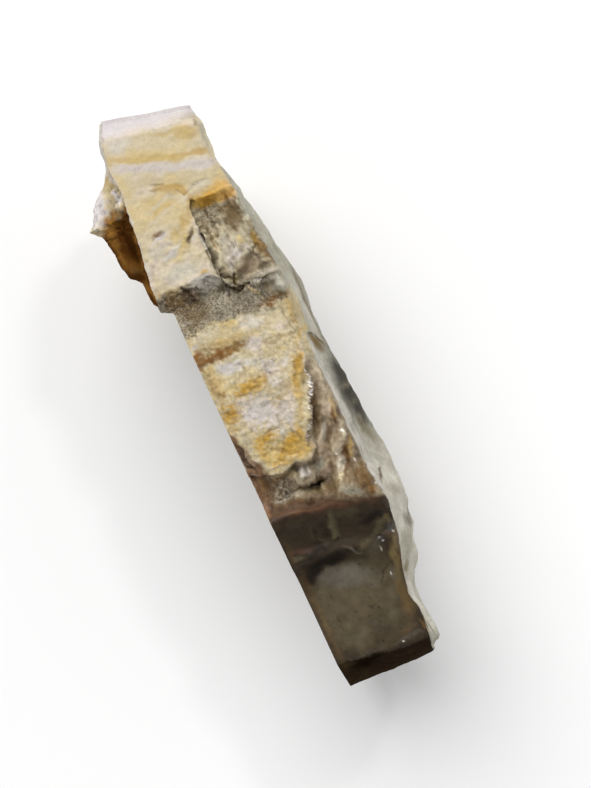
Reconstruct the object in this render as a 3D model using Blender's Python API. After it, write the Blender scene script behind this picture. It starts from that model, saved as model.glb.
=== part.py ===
"""A rough piece of flint with one sawn face.

It stands on its long back edge, on a small flat spot. The long narrow edge
with the pale rind points up, the sawn face points to -Y, the natural back to
+Y, the chalky end to -X and the dark flint end to +X.

The form is worked out in millimetres, as it looks from straight above: x runs
along the stone, y across it and depth down from the highest rind. A block of
small cells is bent to that form and then thinned out.
"""
import bmesh
import bpy
import numpy as np
from mathutils import Vector, noise

MM = 0.001

# Driving dimensions in millimetres
HEIGHT = 57.0
END_X = 51.2
THICKNESS = 20.0
CELL = 1.0
FACES_KEPT = 0.27

# The point above which the stone is seen, and how far below it the rind lies
AXIS_X = 3.1
AXIS_Y = 12.3
SIGHT = 315.0

# The sawn face and the round saw cut at which it stops
SAWN_Y = -0.5
SAW_STOP_X = -17.3
SAW_RADIUS = 110.0
SAW_MIDDLE = 28.0
SAW_STEP = 1.4

# Flat spot under the stone, and how fast the underside rises away from it
SPOT_X = 1.0
SPOT_Y = 9.8
SPOT_HALF_X = 36.0
SPOT_HALF_Y = 6.2
UNDERSIDE_RISE = 4.2

# Outlines as (x, y) from above: the two front edges, the ridge and the swell
# of the back, the broken lip beside the sawn face and the stub below the lip
LEFT_EDGE = [(-51.2, 1.7), (-48.3, 0.4), (-43.7, -0.3), (-39.4, 0.0), (-36.4, -0.5), (-31.2, -0.9),
             (-26.4, -1.5), (-22.5, -2.0), (-18.8, -2.5), (-17.3, -1.2)]
RIGHT_EDGE = [(-48.0, 16.4), (-44.2, 17.3), (-38.3, 16.7), (-30.1, 17.5), (-22.3, 17.9), (-14.7, 18.6),
              (-6.9, 17.9), (-0.8, 17.5), (6.9, 17.8), (19.1, 17.9), (25.2, 18.8), (31.2, 18.1),
              (36.4, 16.3), (40.5, 15.4), (43.7, 16.0), (51.2, 15.4)]
BACK_RIDGE = [(-48.0, 16.2), (-38.0, 16.6), (-28.0, 18.2), (-19.0, 19.7), (-12.0, 19.8), (-6.0, 19.4),
              (3.0, 19.7), (8.0, 19.1), (13.0, 18.8), (24.0, 19.2), (31.6, 18.9), (36.0, 17.2),
              (41.0, 16.6), (47.0, 17.1), (49.7, 17.2), (51.2, 16.0)]
BACK_SWELL = [(-48.0, 15.0), (-38.0, 16.2), (-28.4, 18.5), (-20.0, 19.9), (-14.0, 20.5), (-8.0, 20.1),
              (-4.2, 20.1), (4.1, 21.2), (11.0, 21.2), (17.9, 22.1), (26.1, 21.8), (29.6, 21.3),
              (31.6, 20.2), (34.3, 19.8), (35.8, 19.1), (37.7, 17.0), (41.0, 16.4), (51.2, 15.8)]
LIP_CREST = [(-46.0, 0.0), (-43.5, -0.5), (-41.0, -2.0), (-39.6, -4.0), (-38.2, -5.5), (-36.4, -6.1),
             (-34.8, -7.1), (-33.4, -5.5), (-30.0, -4.9), (-25.6, -4.4), (-24.4, -2.7), (-19.0, -2.5)]
STUB_SWELL = [(-47.0, -0.4), (-42.0, -2.8), (-36.0, -4.4), (-30.0, -5.2), (-25.5, -3.4), (-21.0, -2.3)]

# Depths at which the back, the lip and the two ends are described
BACK_DEPTHS = (0.0, 5.0, 25.0, 40.0, 52.0, 57.0)
BACK_FOOT_Y = 16.0
LIP_DEPTHS = (0.0, 1.6, 4.5, 11.0, 20.0, 36.0, 57.0)
STUB_FOOT = [(-48.0, -0.2), (-40.0, -2.0), (-20.0, -1.6)]
CHALK_END_DEPTHS = (0.0, 12.0, 34.0, 57.0)
CHALK_END_TAPER = (0.0, 0.3, 1.6, 7.0)
CHALK_END_SLANT = 3.7
FLINT_END_DEPTHS = (0.0, 20.0, 40.0, 57.0)
FLINT_END_TAPER = (0.0, -0.4, -2.0, -7.0)

# Lines across the top, as x at each y: where the rind steps down and where
# the flint breaks into ridges
RIND_STEP = [(-3.0, -20.4), (0.0, -21.2), (3.0, -20.8), (7.0, -21.6), (9.5, -19.5)]
BLOCK_END = [(0.0, 11.5), (3.0, 13.6), (5.0, 14.1), (7.0, 13.4), (10.5, 13.9), (12.0, 11.5), (14.0, 8.0)]
FIRST_RIDGE = [(0.0, 19.3), (2.0, 19.6), (10.0, 21.2), (16.5, 23.6), (19.0, 24.5)]
SECOND_RIDGE = [(-1.0, 28.3), (5.0, 28.8), (9.5, 29.3), (12.0, 30.4), (14.0, 29.6), (18.5, 27.6)]
THIRD_RIDGE = [(0.0, 46.3), (6.0, 46.8), (8.0, 47.6), (11.0, 47.9), (16.0, 48.2)]

# The wet edge of the pale block and the scar along the sawn edge, as y at each x
BLOCK_EDGE = [(-2.0, 16.4), (0.0, 15.2), (3.0, 14.6), (6.0, 13.6), (8.5, 12.4), (11.0, 10.8), (14.0, 10.2)]
SAWN_SCAR = [(4.5, -0.5), (9.0, 1.2), (13.0, 2.6), (16.5, 2.2), (20.5, -0.5)]

# The hollow in the rind: where it starts and ends along x, its near side, its
# floor, and the facet that drops off its bright slope
HOLLOW_START = (-33.4, -31.8)
HOLLOW_END = (-18.2, -17.0)
HOLLOW_SIDE = (9.4, 10.4)
HOLLOW_FLOOR = 3.2
HOLLOW_LIFT = 2.0
FACET_POINT = (-22.2, 15.2)
FACET_DROP = 1.7

# The granular ledge after the rind step, and the nook behind it
LEDGE_DROP = 2.5
LEDGE_RISE = (-17.5, -11.5)
LEDGE_SIDE = (9.0, 14.0)
NOOK = (-14.6, 16.0)
NOOK_DROP = 1.6

# The slope below the block's wet edge, with two knobs and a gap
SLOPE_DROP = 2.5
SLOPE_RISE = 0.9
SLOPE_END = (18.0, 21.0)
BIG_KNOB = (16.2, 7.6)
SMALL_KNOB = (16.6, 3.8)
KNOB_HEIGHT = 1.0
GAP = (18.4, 9.0)
GAP_DROP = 2.6

# How far the flint falls past each ridge
FIRST_DROP = 3.6
SECOND_DROP = 3.9
THIRD_SLOPE = 2.3

# The rounded chalky end and the rounded rim of the back
CHALK_ROUND = 3.2
CHALK_DROP = 4.2
RIM_ROUND = 1.6
RIM_DROP = 0.45

# How the top falls along the stone, as depth at each x
TOP_FALL = [(-51.2, 0.6), (-34.0, 0.3), (-22.0, 0.6), (-12.0, 0.4), (0.0, 0.0), (12.0, 0.3), (19.5, 1.3)]

# Hollows struck out of the hidden part of the back, as x, depth, radius, cut
BACK_SCARS = [(-31.0, 37.0, 15.0, 2.8), (-4.0, 46.0, 16.0, 3.2), (16.0, 39.0, 11.0, 2.2),
              (38.0, 40.0, 15.0, 3.4), (-44.0, 22.0, 9.0, 1.6), (-16.0, 32.0, 8.0, 1.5),
              (30.0, 52.0, 12.0, 2.4), (-46.0, 48.0, 12.0, 2.6), (2.0, 27.0, 7.0, 1.0)]
FACE_SCARS = [(-35.0, 34.0, 9.5, 1.7), (-26.5, 44.0, 8.0, 1.3), (-43.5, 40.0, 9.0, 1.6),
              (-24.5, 24.0, 5.5, 1.0), (-46.0, 22.0, 7.0, 1.1), (-33.0, 52.0, 7.0, 1.2)]
END_SCARS = [(10.0, 20.0, 12.0, 1.6), (6.0, 43.0, 13.0, 1.8)]

# Soft lumps on the top and on the other broken or natural faces
SWELL_SIZE = 17.0
LUMP_SIZE = 6.5
TOP_LUMPS = (0.45, 0.3)
SIDE_LUMPS = (0.9, 0.6)


def ramp(value, start, end):
    """Rise smoothly from 0 at start to 1 at end."""
    part = np.clip((value - start) / (end - start), 0.0, 1.0)
    return part * part * (3.0 - 2.0 * part)


def along(points, value):
    """Read a polyline of (position, value) pairs at each position."""
    places, values = zip(*points)
    return np.interp(value, places, values)


def across(points, value):
    """Read a line across the stone, given as (y, x) pairs, at each y."""
    return along(points, value)


def bump(x, y, middle, radius):
    """A round hill of height 1 at the middle that ends at the radius."""
    reach = ((x - middle[0]) / radius[0]) ** 2 + ((y - middle[1]) / radius[1]) ** 2
    return np.clip(1.0 - reach, 0.0, 1.0) ** 2


def levels(depth, depths, values):
    """Blend values that are given at a few depths, for each point."""
    result = values[0] + 0.0 * depth
    for upper, lower, start, end in zip(depths, depths[1:], values, values[1:]):
        part = np.clip((depth - upper) / (lower - upper), 0.0, 1.0)
        result = result + (end - start) * part
    return result


def behind(offset, depth):
    """Widen an offset from the line of sight for something deeper down."""
    return offset * (1.0 + depth / SIGHT)


def saw_stop(depth):
    """The x at which the round saw cut stops, at each depth."""
    bow = np.sqrt(SAW_RADIUS ** 2 - (depth - SAW_MIDDLE) ** 2)
    return SAW_STOP_X - (bow - np.sqrt(SAW_RADIUS ** 2 - SAW_MIDDLE ** 2))


def rind_depth(x, y):
    """Depth of the pale rind: the hollow, the granular ledge and the nook."""
    along_hollow = ramp(x, *HOLLOW_START) * (1.0 - ramp(x, *HOLLOW_END))
    hollow = along_hollow * ramp(y, *HOLLOW_SIDE) * (1.0 - 0.75 * ramp(y, 15.8, 17.6))
    floor = HOLLOW_FLOOR - HOLLOW_LIFT * ramp(x, -29.0, -20.0)
    facet = ramp((x - FACET_POINT[0]) * 0.76 + (y - FACET_POINT[1]) * 0.65, 0.0, 1.4)
    step = ramp(x - across(RIND_STEP, y), 0.0, 1.2)
    ledge = step * (1.0 - ramp(x, *LEDGE_RISE)) * (1.0 - ramp(y, *LEDGE_SIDE))
    nook = bump(x, y, NOOK, (3.6, 2.4))
    depth = along(TOP_FALL, x) + hollow * (floor + FACET_DROP * facet)
    return depth + LEDGE_DROP * ledge + NOOK_DROP * nook


def slope_depth(x, y):
    """Depth below the wet edge of the block and past its broken end."""
    past_edge = ramp(y - along(BLOCK_EDGE, x), 0.0, 1.2) * ramp(x, -3.0, 1.0)
    past_end = ramp(x - across(BLOCK_END, y), 0.0, 1.0)
    slope = np.maximum(past_edge, past_end) * (1.0 - ramp(x, *SLOPE_END))
    rise = SLOPE_RISE * ramp(y, 13.5, 17.5)
    knobs = bump(x, y, BIG_KNOB, (2.4, 3.2)) + 0.7 * bump(x, y, SMALL_KNOB, (2.2, 2.0))
    gap = bump(x, y, GAP, (1.3, 3.2))
    return slope * (SLOPE_DROP - rise) - KNOB_HEIGHT * knobs + GAP_DROP * gap


def flint_depth(x, y):
    """Depth of the dark flint past each of its three broken ridges."""
    first = x - across(FIRST_RIDGE, y)
    second = x - across(SECOND_RIDGE, y)
    third = x - across(THIRD_RIDGE, y)
    near_face = 1.0 - 0.55 * ramp(y, 9.0, 13.0)
    sharp = 0.77 * ramp(second, 0.0, 2.6) + 0.23 * ramp(second, 1.5, 6.0)
    gentle = ramp(second, 0.0, 9.0)
    burr = 0.5 * bump(second, y, (0.0, 6.0), (1.8, 7.0))
    fall = FIRST_DROP * ramp(first, -0.3, 7.5) + THIRD_SLOPE * np.clip(third, 0.0, None)
    return fall - burr + SECOND_DROP * (near_face * sharp + (1.0 - near_face) * gentle)


def edge_depth(x, y):
    """Depth lost at the rounded chalky end, the sawn scar and the back rim."""
    inside = (x + END_X) * 0.970 - (y - 1.7) * 0.2425
    chalk = CHALK_DROP * (1.0 - np.clip(inside / CHALK_ROUND, 0.0, 1.0)) ** 1.6
    scar = np.clip((along(SAWN_SCAR, x) - y) / 1.6, 0.0, 1.5)
    near_rim = np.clip(y - along(RIGHT_EDGE, x) + RIM_ROUND, 0.0, RIM_ROUND)
    return chalk + scar + RIM_DROP * near_rim ** 2


def top_depth(x, y):
    """Depth of the whole broken top below the highest rind."""
    return rind_depth(x, y) + slope_depth(x, y) + flint_depth(x, y) + edge_depth(x, y)


def stretched(x):
    """Length along the stone, longer where the top lies further from the eye."""
    fall = along([(14.0, 0.0), (20.0, 2.0), (28.0, 5.0), (34.0, 8.7), (51.2, 12.0)], x)
    return AXIS_X + behind(x - AXIS_X, fall)


def scars(x, depth, marks):
    """How much a set of round scars takes off, each with a crisp rim."""
    cut = x * 0.0
    for middle, down, radius, most in marks:
        reach = ((x - middle) ** 2 + (depth - down) ** 2) / radius ** 2
        cut = np.maximum(cut, most * np.clip(1.0 - reach, 0.0, 1.0))
    return cut


def back_y(x, depth):
    """The natural back at each x and depth."""
    seen = AXIS_X + (x - AXIS_X) / (1.0 + BACK_DEPTHS[2] / SIGHT)
    edge = along(RIGHT_EDGE, x)
    ridge = AXIS_Y + behind(along(BACK_RIDGE, x) - AXIS_Y, BACK_DEPTHS[1])
    swell = AXIS_Y + behind(along(BACK_SWELL, seen) - AXIS_Y, BACK_DEPTHS[2])
    foot = BACK_FOOT_Y + 0.0 * x
    values = (edge, ridge, swell, swell - 1.0, foot + 2.6, foot)
    return levels(depth, BACK_DEPTHS, values) - scars(x, depth, BACK_SCARS)


def face_y(x, depth):
    """The sawn face, and beside it the broken lip and stub that the saw left."""
    seen = AXIS_X + (x - AXIS_X) / (1.0 + LIP_DEPTHS[3] / SIGHT)
    edge = along(LEFT_EDGE, x)
    crest = AXIS_Y + behind(along(LIP_CREST, seen) - AXIS_Y, LIP_DEPTHS[3])
    swell = along(STUB_SWELL, x)
    foot = along(STUB_FOOT, x)
    values = (edge, edge + 0.2, edge * 0.7 + crest * 0.3, crest, swell, swell * 0.3 + foot * 0.7, foot)
    stub = levels(depth, LIP_DEPTHS, values) + scars(x, depth, FACE_SCARS)
    return SAWN_Y + (stub - SAWN_Y) * ramp(saw_stop(depth) - x, 0.0, SAW_STEP)


def underside(x, y):
    """Height of the underside: a flat spot, with the stone rising around it."""
    away = ((x - SPOT_X) / SPOT_HALF_X) ** 2 + ((y - SPOT_Y) / SPOT_HALF_Y) ** 2
    return UNDERSIDE_RISE * np.clip(away - 1.0, 0.0, None) ** 0.8


def stone_points(block):
    """Bend points of a unit block, in x, y and z, to the form of the stone."""
    part_x, part_y, part_z = block.T
    depth = (1.0 - part_z) * HEIGHT
    chalk_end = levels(depth, CHALK_END_DEPTHS, CHALK_END_TAPER) + CHALK_END_SLANT * part_y - END_X
    flint_end = levels(depth, FLINT_END_DEPTHS, FLINT_END_TAPER) + END_X
    flint_end = flint_end - scars(part_y * THICKNESS, depth, END_SCARS)
    x = chalk_end + (flint_end - chalk_end) * part_x
    face = face_y(x, depth)
    y = face + (back_y(x, depth) - face) * part_y
    near_side = np.where(x > SAW_STOP_X, SAWN_Y, along(LEFT_EDGE, x))
    top = HEIGHT - top_depth(x, np.clip(y, near_side, along(RIGHT_EDGE, x)))
    bottom = underside(x, y)
    return np.column_stack((stretched(x), y, bottom + (top - bottom) * part_z))


def roughened(points, normals, block):
    """Add soft lumps to every broken or natural face, but not to the flat ones."""
    depth = (1.0 - block[:, 2]) * HEIGHT
    beside_saw = points[:, 0] > saw_stop(depth)
    sawn = (block[:, 1] < 0.001) & beside_saw
    top = block[:, 2] > 0.999
    swell = np.array([noise.noise(Vector(p) / SWELL_SIZE) for p in points])
    lump = np.array([noise.noise(Vector(p) / LUMP_SIZE) for p in points])
    on_top = TOP_LUMPS[0] * swell + TOP_LUMPS[1] * lump
    on_sides = SIDE_LUMPS[0] * swell + SIDE_LUMPS[1] * lump
    push = np.where(top, on_top, on_sides) * np.where(sawn, 0.0, ramp(points[:, 2], 0.0, 4.0))
    moved = points + normals * push[:, None]
    moved[:, 1] = np.where(beside_saw, np.maximum(moved[:, 1], SAWN_Y), moved[:, 1])
    moved[:, 2] = np.maximum(moved[:, 2], 0.0)
    return moved


def unit_block():
    """A block from 0 to 1 each way, cut into cells about one CELL across."""
    bm = bmesh.new()
    bmesh.ops.create_cube(bm, size=1.0)
    sizes = (2.0 * END_X, THICKNESS, HEIGHT)
    for axis, size in enumerate(sizes):
        edges = [e for e in bm.edges if abs((e.verts[0].co - e.verts[1].co)[axis]) > 0.5]
        bmesh.ops.subdivide_edges(bm, edges=edges, cuts=round(size / CELL) - 1, use_grid_fill=True)
    bmesh.ops.translate(bm, vec=(0.5, 0.5, 0.5), verts=bm.verts)
    return bm


def set_points(bm, points):
    """Put each vertex at its point and work out the normals."""
    for vert, point in zip(bm.verts, points):
        vert.co = point
    bm.normal_update()


def flint_material():
    """Grey-brown flint, glossy where it is broken."""
    material = bpy.data.materials.new("flint_stone")
    material.use_nodes = True
    shader = material.node_tree.nodes["Principled BSDF"]
    shader.inputs["Base Color"].default_value = (0.34, 0.30, 0.22, 1.0)
    shader.inputs["Roughness"].default_value = 0.45
    shader.inputs["Metallic"].default_value = 0.0
    return material


def make_flint():
    """Build the stone, centre it over the origin and thin its faces out."""
    bm = unit_block()
    block = np.array([vert.co for vert in bm.verts])
    set_points(bm, stone_points(block))
    points = np.array([vert.co for vert in bm.verts])
    normals = np.array([vert.normal for vert in bm.verts])
    points = roughened(points, normals, block)
    middle = (points.min(axis=0) + points.max(axis=0)) / 2.0
    middle[2] = 0.0
    set_points(bm, (points - middle) * MM)
    mesh = bpy.data.meshes.new("flint")
    bm.to_mesh(mesh)
    bm.free()
    flint = bpy.data.objects.new("flint", mesh)
    bpy.context.scene.collection.objects.link(flint)
    mesh.materials.append(flint_material())
    thin = flint.modifiers.new("fewer faces", "DECIMATE")
    thin.ratio = FACES_KEPT


def main():
    for item in list(bpy.data.objects):
        bpy.data.objects.remove(item)
    make_flint()


main()
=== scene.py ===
import math

import bmesh
import bpy
import numpy as np
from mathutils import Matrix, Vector, noise


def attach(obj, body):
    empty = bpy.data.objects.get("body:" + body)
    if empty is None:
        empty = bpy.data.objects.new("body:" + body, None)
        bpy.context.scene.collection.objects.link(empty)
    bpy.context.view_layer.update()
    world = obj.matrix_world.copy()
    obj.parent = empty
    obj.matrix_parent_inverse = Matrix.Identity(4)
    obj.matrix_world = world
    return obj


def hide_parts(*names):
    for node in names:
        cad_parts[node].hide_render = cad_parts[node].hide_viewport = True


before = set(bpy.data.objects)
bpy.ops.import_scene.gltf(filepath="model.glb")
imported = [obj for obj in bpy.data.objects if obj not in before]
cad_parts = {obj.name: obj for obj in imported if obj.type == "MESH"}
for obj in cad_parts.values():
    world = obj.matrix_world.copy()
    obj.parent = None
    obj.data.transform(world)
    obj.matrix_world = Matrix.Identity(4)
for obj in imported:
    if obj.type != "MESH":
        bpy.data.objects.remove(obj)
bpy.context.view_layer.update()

# The looks of a rough flint with one sawn face. The stone is one piece, made
# again here from the same form as its CAD solid, with far smaller cells and
# with its cracks, grains, fibres and chips. Its colours are painted on the
# points as irregular stains and bands, and its material adds the fine grain.
#
# As in the CAD source, the form is worked out in millimetres as it looks from
# straight above: x along the stone, y across it, depth down from the highest
# rind. Sizes are in millimetres where nothing else is said.

MM = 0.001

# Driving dimensions in millimetres
HEIGHT = 57.0
END_X = 51.2
THICKNESS = 20.0

# The point above which the stone is seen, and how far below it the rind lies
AXIS_X = 3.1
AXIS_Y = 12.3
SIGHT = 315.0

# The sawn face and the round saw cut at which it stops
SAWN_Y = -0.5
SAW_STOP_X = -17.3
SAW_RADIUS = 110.0
SAW_MIDDLE = 28.0
SAW_STEP = 1.4

# Flat spot under the stone, and how fast the underside rises away from it
SPOT_X = 1.0
SPOT_Y = 9.8
SPOT_HALF_X = 36.0
SPOT_HALF_Y = 6.2
UNDERSIDE_RISE = 4.2

# Outlines as (x, y) from above: the two front edges, the ridge and the swell
# of the back, the broken lip beside the sawn face and the stub below the lip
LEFT_EDGE = [(-51.2, 1.7), (-48.3, 0.4), (-43.7, -0.3), (-39.4, 0.0), (-36.4, -0.5), (-31.2, -0.9),
             (-26.4, -1.5), (-22.5, -2.0), (-18.8, -2.5), (-17.3, -1.2)]
RIGHT_EDGE = [(-48.0, 16.4), (-44.2, 17.3), (-38.3, 16.7), (-30.1, 17.5), (-22.3, 17.9), (-14.7, 18.6),
              (-6.9, 17.9), (-0.8, 17.5), (6.9, 17.8), (19.1, 17.9), (25.2, 18.8), (31.2, 18.1),
              (36.4, 16.3), (40.5, 15.4), (43.7, 16.0), (51.2, 15.4)]
BACK_RIDGE = [(-48.0, 16.2), (-38.0, 16.6), (-28.0, 18.2), (-19.0, 19.7), (-12.0, 19.8), (-6.0, 19.4),
              (3.0, 19.7), (8.0, 19.1), (13.0, 18.8), (24.0, 19.2), (31.6, 18.9), (36.0, 17.2),
              (41.0, 16.6), (47.0, 17.1), (49.7, 17.2), (51.2, 16.0)]
BACK_SWELL = [(-48.0, 15.0), (-38.0, 16.2), (-28.4, 18.5), (-20.0, 19.9), (-14.0, 20.5), (-8.0, 20.1),
              (-4.2, 20.1), (4.1, 21.4), (8.0, 21.8), (11.0, 21.8), (17.9, 22.1), (26.1, 21.8),
              (29.6, 21.3), (31.6, 20.2), (34.3, 19.8), (35.8, 19.1), (37.7, 17.0), (41.0, 16.4),
              (51.2, 15.8)]
LIP_CREST = [(-50.5, 1.8), (-48.0, 0.6), (-46.0, 0.1), (-43.5, -0.5), (-41.0, -2.0), (-39.6, -4.0),
             (-38.2, -5.5), (-36.4, -6.1), (-34.8, -7.1), (-33.4, -5.5), (-30.0, -4.9), (-25.6, -4.4),
             (-24.4, -2.7), (-19.0, -2.5)]
STUB_SWELL = [(-50.5, 1.4), (-47.0, 0.0), (-42.0, -2.8), (-36.0, -4.4), (-30.0, -5.2), (-25.5, -3.4),
              (-21.0, -2.3)]

# Depths at which the back, the lip and the two ends are described
BACK_DEPTHS = (0.0, 5.0, 25.0, 40.0, 52.0, 57.0)
BACK_FOOT_Y = 16.0
LIP_DEPTHS = (0.0, 1.6, 4.5, 11.0, 20.0, 36.0, 57.0)
STUB_FOOT = [(-48.0, -0.2), (-40.0, -2.0), (-20.0, -1.6)]
CHALK_END_DEPTHS = (0.0, 12.0, 34.0, 57.0)
CHALK_END_TAPER = (-0.8, -0.4, 1.4, 7.0)
CHALK_END_SLANT = 3.7
FLINT_END_DEPTHS = (0.0, 20.0, 40.0, 57.0)
FLINT_END_TAPER = (0.8, 0.4, -1.8, -7.0)

# Lines across the top, as x at each y: where the rind steps down and where
# the flint breaks into ridges
RIND_STEP = [(-3.0, -20.4), (0.0, -21.2), (3.0, -20.8), (7.0, -21.6), (9.5, -19.5)]
BLOCK_END = [(0.0, 11.5), (3.0, 13.6), (5.0, 14.1), (7.0, 13.4), (10.5, 13.9), (12.0, 11.5), (14.0, 8.0)]
FIRST_RIDGE = [(0.0, 19.3), (2.0, 19.6), (10.0, 21.2), (16.5, 23.6), (19.0, 24.5)]
SECOND_RIDGE = [(-1.0, 28.3), (5.0, 28.8), (9.5, 29.3), (12.0, 30.4), (14.0, 29.6), (18.5, 27.6)]
THIRD_RIDGE = [(0.0, 46.3), (6.0, 46.8), (8.0, 47.6), (11.0, 47.9), (16.0, 48.2)]

# The wet edge of the pale block and the scar along the sawn edge, as y at each x
BLOCK_EDGE = [(-2.0, 16.4), (0.0, 15.2), (3.0, 14.6), (6.0, 13.6), (8.5, 12.0), (10.6, 10.6), (14.0, 10.2)]
SAWN_SCAR = [(4.5, -0.5), (9.0, 1.2), (13.0, 2.6), (16.5, 2.2), (20.5, -0.5)]

# The hollow in the rind: where it starts and ends along x, its near side, its
# floor, and the facet that drops off its bright slope
HOLLOW_START = (-32.9, -31.3)
HOLLOW_END = (-18.2, -17.0)
HOLLOW_SIDE = (9.4, 10.4)
HOLLOW_BACK = (15.8, 17.6)
HOLLOW_FLOOR = 3.2
HOLLOW_LIFT = 2.0
FACET_POINT = (-22.2, 15.2)
FACET_DROP = 1.7

# The granular ledge after the rind step, and the nook behind it
STEP_LENGTH = 3.6
LEDGE_DROP = 2.5
LEDGE_RISE = (-17.5, -11.5)
LEDGE_SIDE = (9.0, 14.0)
NOOK = (-14.6, 16.0)
NOOK_DROP = 1.6

# The slope below the block's wet edge, with two knobs and a gap
SLOPE_DROP = 2.5
SLOPE_RISE = 0.9
SLOPE_END = (18.0, 21.0)
BIG_KNOB = (16.2, 7.6)
SMALL_KNOB = (16.6, 3.8)
KNOB_HEIGHT = 1.0
GAP = (18.4, 9.0)
GAP_DROP = 2.6

# How far the flint falls past each ridge
FIRST_DROP = 3.6
SECOND_DROP = 3.9
THIRD_SLOPE = 2.3

# The rounded chalky end and the rounded rim of the back
CHALK_LEAN = (0.970, 0.2425)
CHALK_ROUND = 3.2
CHALK_DROP = 4.2
RIM_ROUND = 1.6
RIM_DROP = 0.45

# How the top falls along the stone, as depth at each x
TOP_FALL = [(-51.2, 0.6), (-34.0, 0.3), (-22.0, 0.6), (-12.0, 0.4), (0.0, 0.0), (12.0, 0.3), (19.5, 1.3)]

# How deep the dark end lies at each x, for its length as seen from above
FLINT_FALL = [(14.0, 0.0), (20.0, 2.0), (28.0, 5.0), (34.0, 8.7), (51.2, 12.0)]

# Hollows struck out of the hidden part of the back, as x, depth, radius, cut
BACK_SCARS = [(-31.0, 37.0, 15.0, 2.8), (-4.0, 46.0, 16.0, 3.2), (16.0, 39.0, 11.0, 2.2),
              (38.0, 40.0, 15.0, 3.4), (-44.0, 22.0, 9.0, 1.6), (-16.0, 32.0, 8.0, 1.5),
              (30.0, 52.0, 12.0, 2.4), (-46.0, 48.0, 12.0, 2.6), (2.0, 27.0, 7.0, 1.0),
              (47.0, 46.0, 10.0, 2.4)]
FACE_SCARS = [(-35.0, 34.0, 9.5, 1.7), (-26.5, 44.0, 8.0, 1.3), (-43.5, 40.0, 9.0, 1.6),
              (-24.5, 24.0, 5.5, 1.0), (-46.0, 22.0, 7.0, 1.1), (-33.0, 52.0, 7.0, 1.2)]
END_SCARS = [(10.0, 20.0, 12.0, 1.6), (6.0, 43.0, 13.0, 1.8)]

# Soft lumps on the top and on the other broken or natural faces
SWELL_SIZE = 17.0
LUMP_SIZE = 6.5
TOP_LUMPS = (0.45, 0.3)
SIDE_LUMPS = (0.9, 0.6)
SIDE_LUMPS_START = 6.0

# How far the edges of the rind's hollow and ledge wander, and over what length
WAVY_AMOUNT = 0.45
WAVY_SIZE = 1.8

# Cells of the visible stone in millimetres. The top's are halved once more.
CELL = 0.44
TOP_LAYER = 7.0
DEEP_CELL = 0.9
SHARP_ANGLE = 58.0

# Painted shade and light from the fine relief: how much darker each millimetre of it makes a pit and lighter
# it makes a raised crumb, and within which heights
RELIEF_SHADING = 0.75
RELIEF_SHADING_REACH = (-0.45, 0.3)

# Sides of the unit block are told apart within this share of it
NEAR = 0.0001

# Noise that makes the edges between zones ragged, as size and reach of its lumps
RAGGED_LUMPS = [(2.2, 0.5), (0.9, 0.28)]

# Where a stain's soft edge starts and ends, as a share of its half size
STAIN_EDGE = (0.4, 1.25)

# Where the zones of the top start and end, along x or y from above
HOLLOW_EDGE = (9.4, 10.0)
HOLLOW_RIM = (16.2, 17.0)
LEDGE_BEND = (3.5, 6.0)
LEDGE_END = (-13.5, -11.5)
LEDGE_BACK = (15.0, 17.0)
BLOCK_START = (-14.4, -12.2)
EDGE_START = (-2.5, 0.5)

# Spans that rise between the first two places and fall between the last two
EDGE_CRUMBS = (-1.5, 0.5, 11.5, 13.0)
EDGE_GLOSS = (-3.0, 0.0, 11.5, 13.0)
# The painted highlights along the wet edge and the wet rim rise and fall within these spans
PAINTED_HIGHLIGHT_EDGE = (-1.0, 0.5, 10.8, 11.6)
PAINTED_HIGHLIGHT_RIM = (-1.0, 0.5, 6.0, 8.0)
RIM_GLOSS = (-6.0, -2.0, 24.0, 27.0)
# The painted highlight along the rim of the back rises and falls within these spans, along x and by depth
PAINTED_RIM_HIGHLIGHT = (-6.0, -3.5, 26.0, 28.0)
PAINTED_RIM_HIGHLIGHT_DEPTH = (0.4, 0.9, 1.8, 2.6)
# Spans of the hollow's wall and near side, which are painted lighter as painted light
PAINTED_LIGHT_WALL_SPAN = (-33.5, -32.9, -31.8, -31.2)
PAINTED_LIGHT_LIP_SPAN = (-31.5, -30.5, -19.0, -18.0)
SCAR_SPAN = (3.5, 4.5, 20.5, 21.5)
TORN_SPAN = (-43.0, -40.0, -34.0, -32.0)
STRIPED_SPAN = (-1.0, 1.5, 12.0, 16.0)

# Lines along the stone as y from above: the crumbling lip of the hollow, its near side that is painted
# lighter as painted light, and the wet rim beside the block
CRUMBLING_LIP = 8.7
PAINTED_LIGHT_LIP = 10.1
WET_RIM = 16.4

# Spots as middle and half size: grains and rough rock in the hollow, its smooth
# places, and the smooth spots of the crumbly block
GRAINY_SPOT = ((-29.6, 11.6), (3.6, 2.6))
RUGGED_SPOT = ((-29.4, 11.6), (4.6, 3.2))
SMOOTH_SPOTS = [((-27.6, 15.2), (3.8, 2.6)), ((-19.6, 14.2), (2.6, 3.0))]
CALM_SPOTS = [((-10.0, 14.8), (3.6, 2.8)), ((-11.8, 4.4), (2.4, 5.0)), ((3.2, 6.0), (3.6, 3.0)),
              ((-5.5, 4.6), (1.8, 3.6))]

# The direction of the folds of the slope, and the size of a fold
FOLD_RUN = (0.91, 0.41)
FOLD_SIZE = (4.2, 1.35)

# Noise scales of the material, in lumps a metre
CRUMB_SCALE = 2000.0
GRAIN_SCALE = 2600.0
SPECK_SCALE = 1900.0
WEAR_SCALE = 700.0
SMOOTH_SCALE = 500.0
ARC_SCALE = 1100.0

# Grains and specks: their colour in a shader's linear values, the noise at which
# they start and are full, and their most
PEPPER = ((0.082, 0.060, 0.034, 1.0), 0.49, 0.60, 0.72)
SALT = ((0.60, 0.56, 0.49, 1.0), 0.45, 0.36, 0.36)
SPECK = ((0.15, 0.10, 0.045, 1.0), 0.66, 0.72, 0.6)

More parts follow.
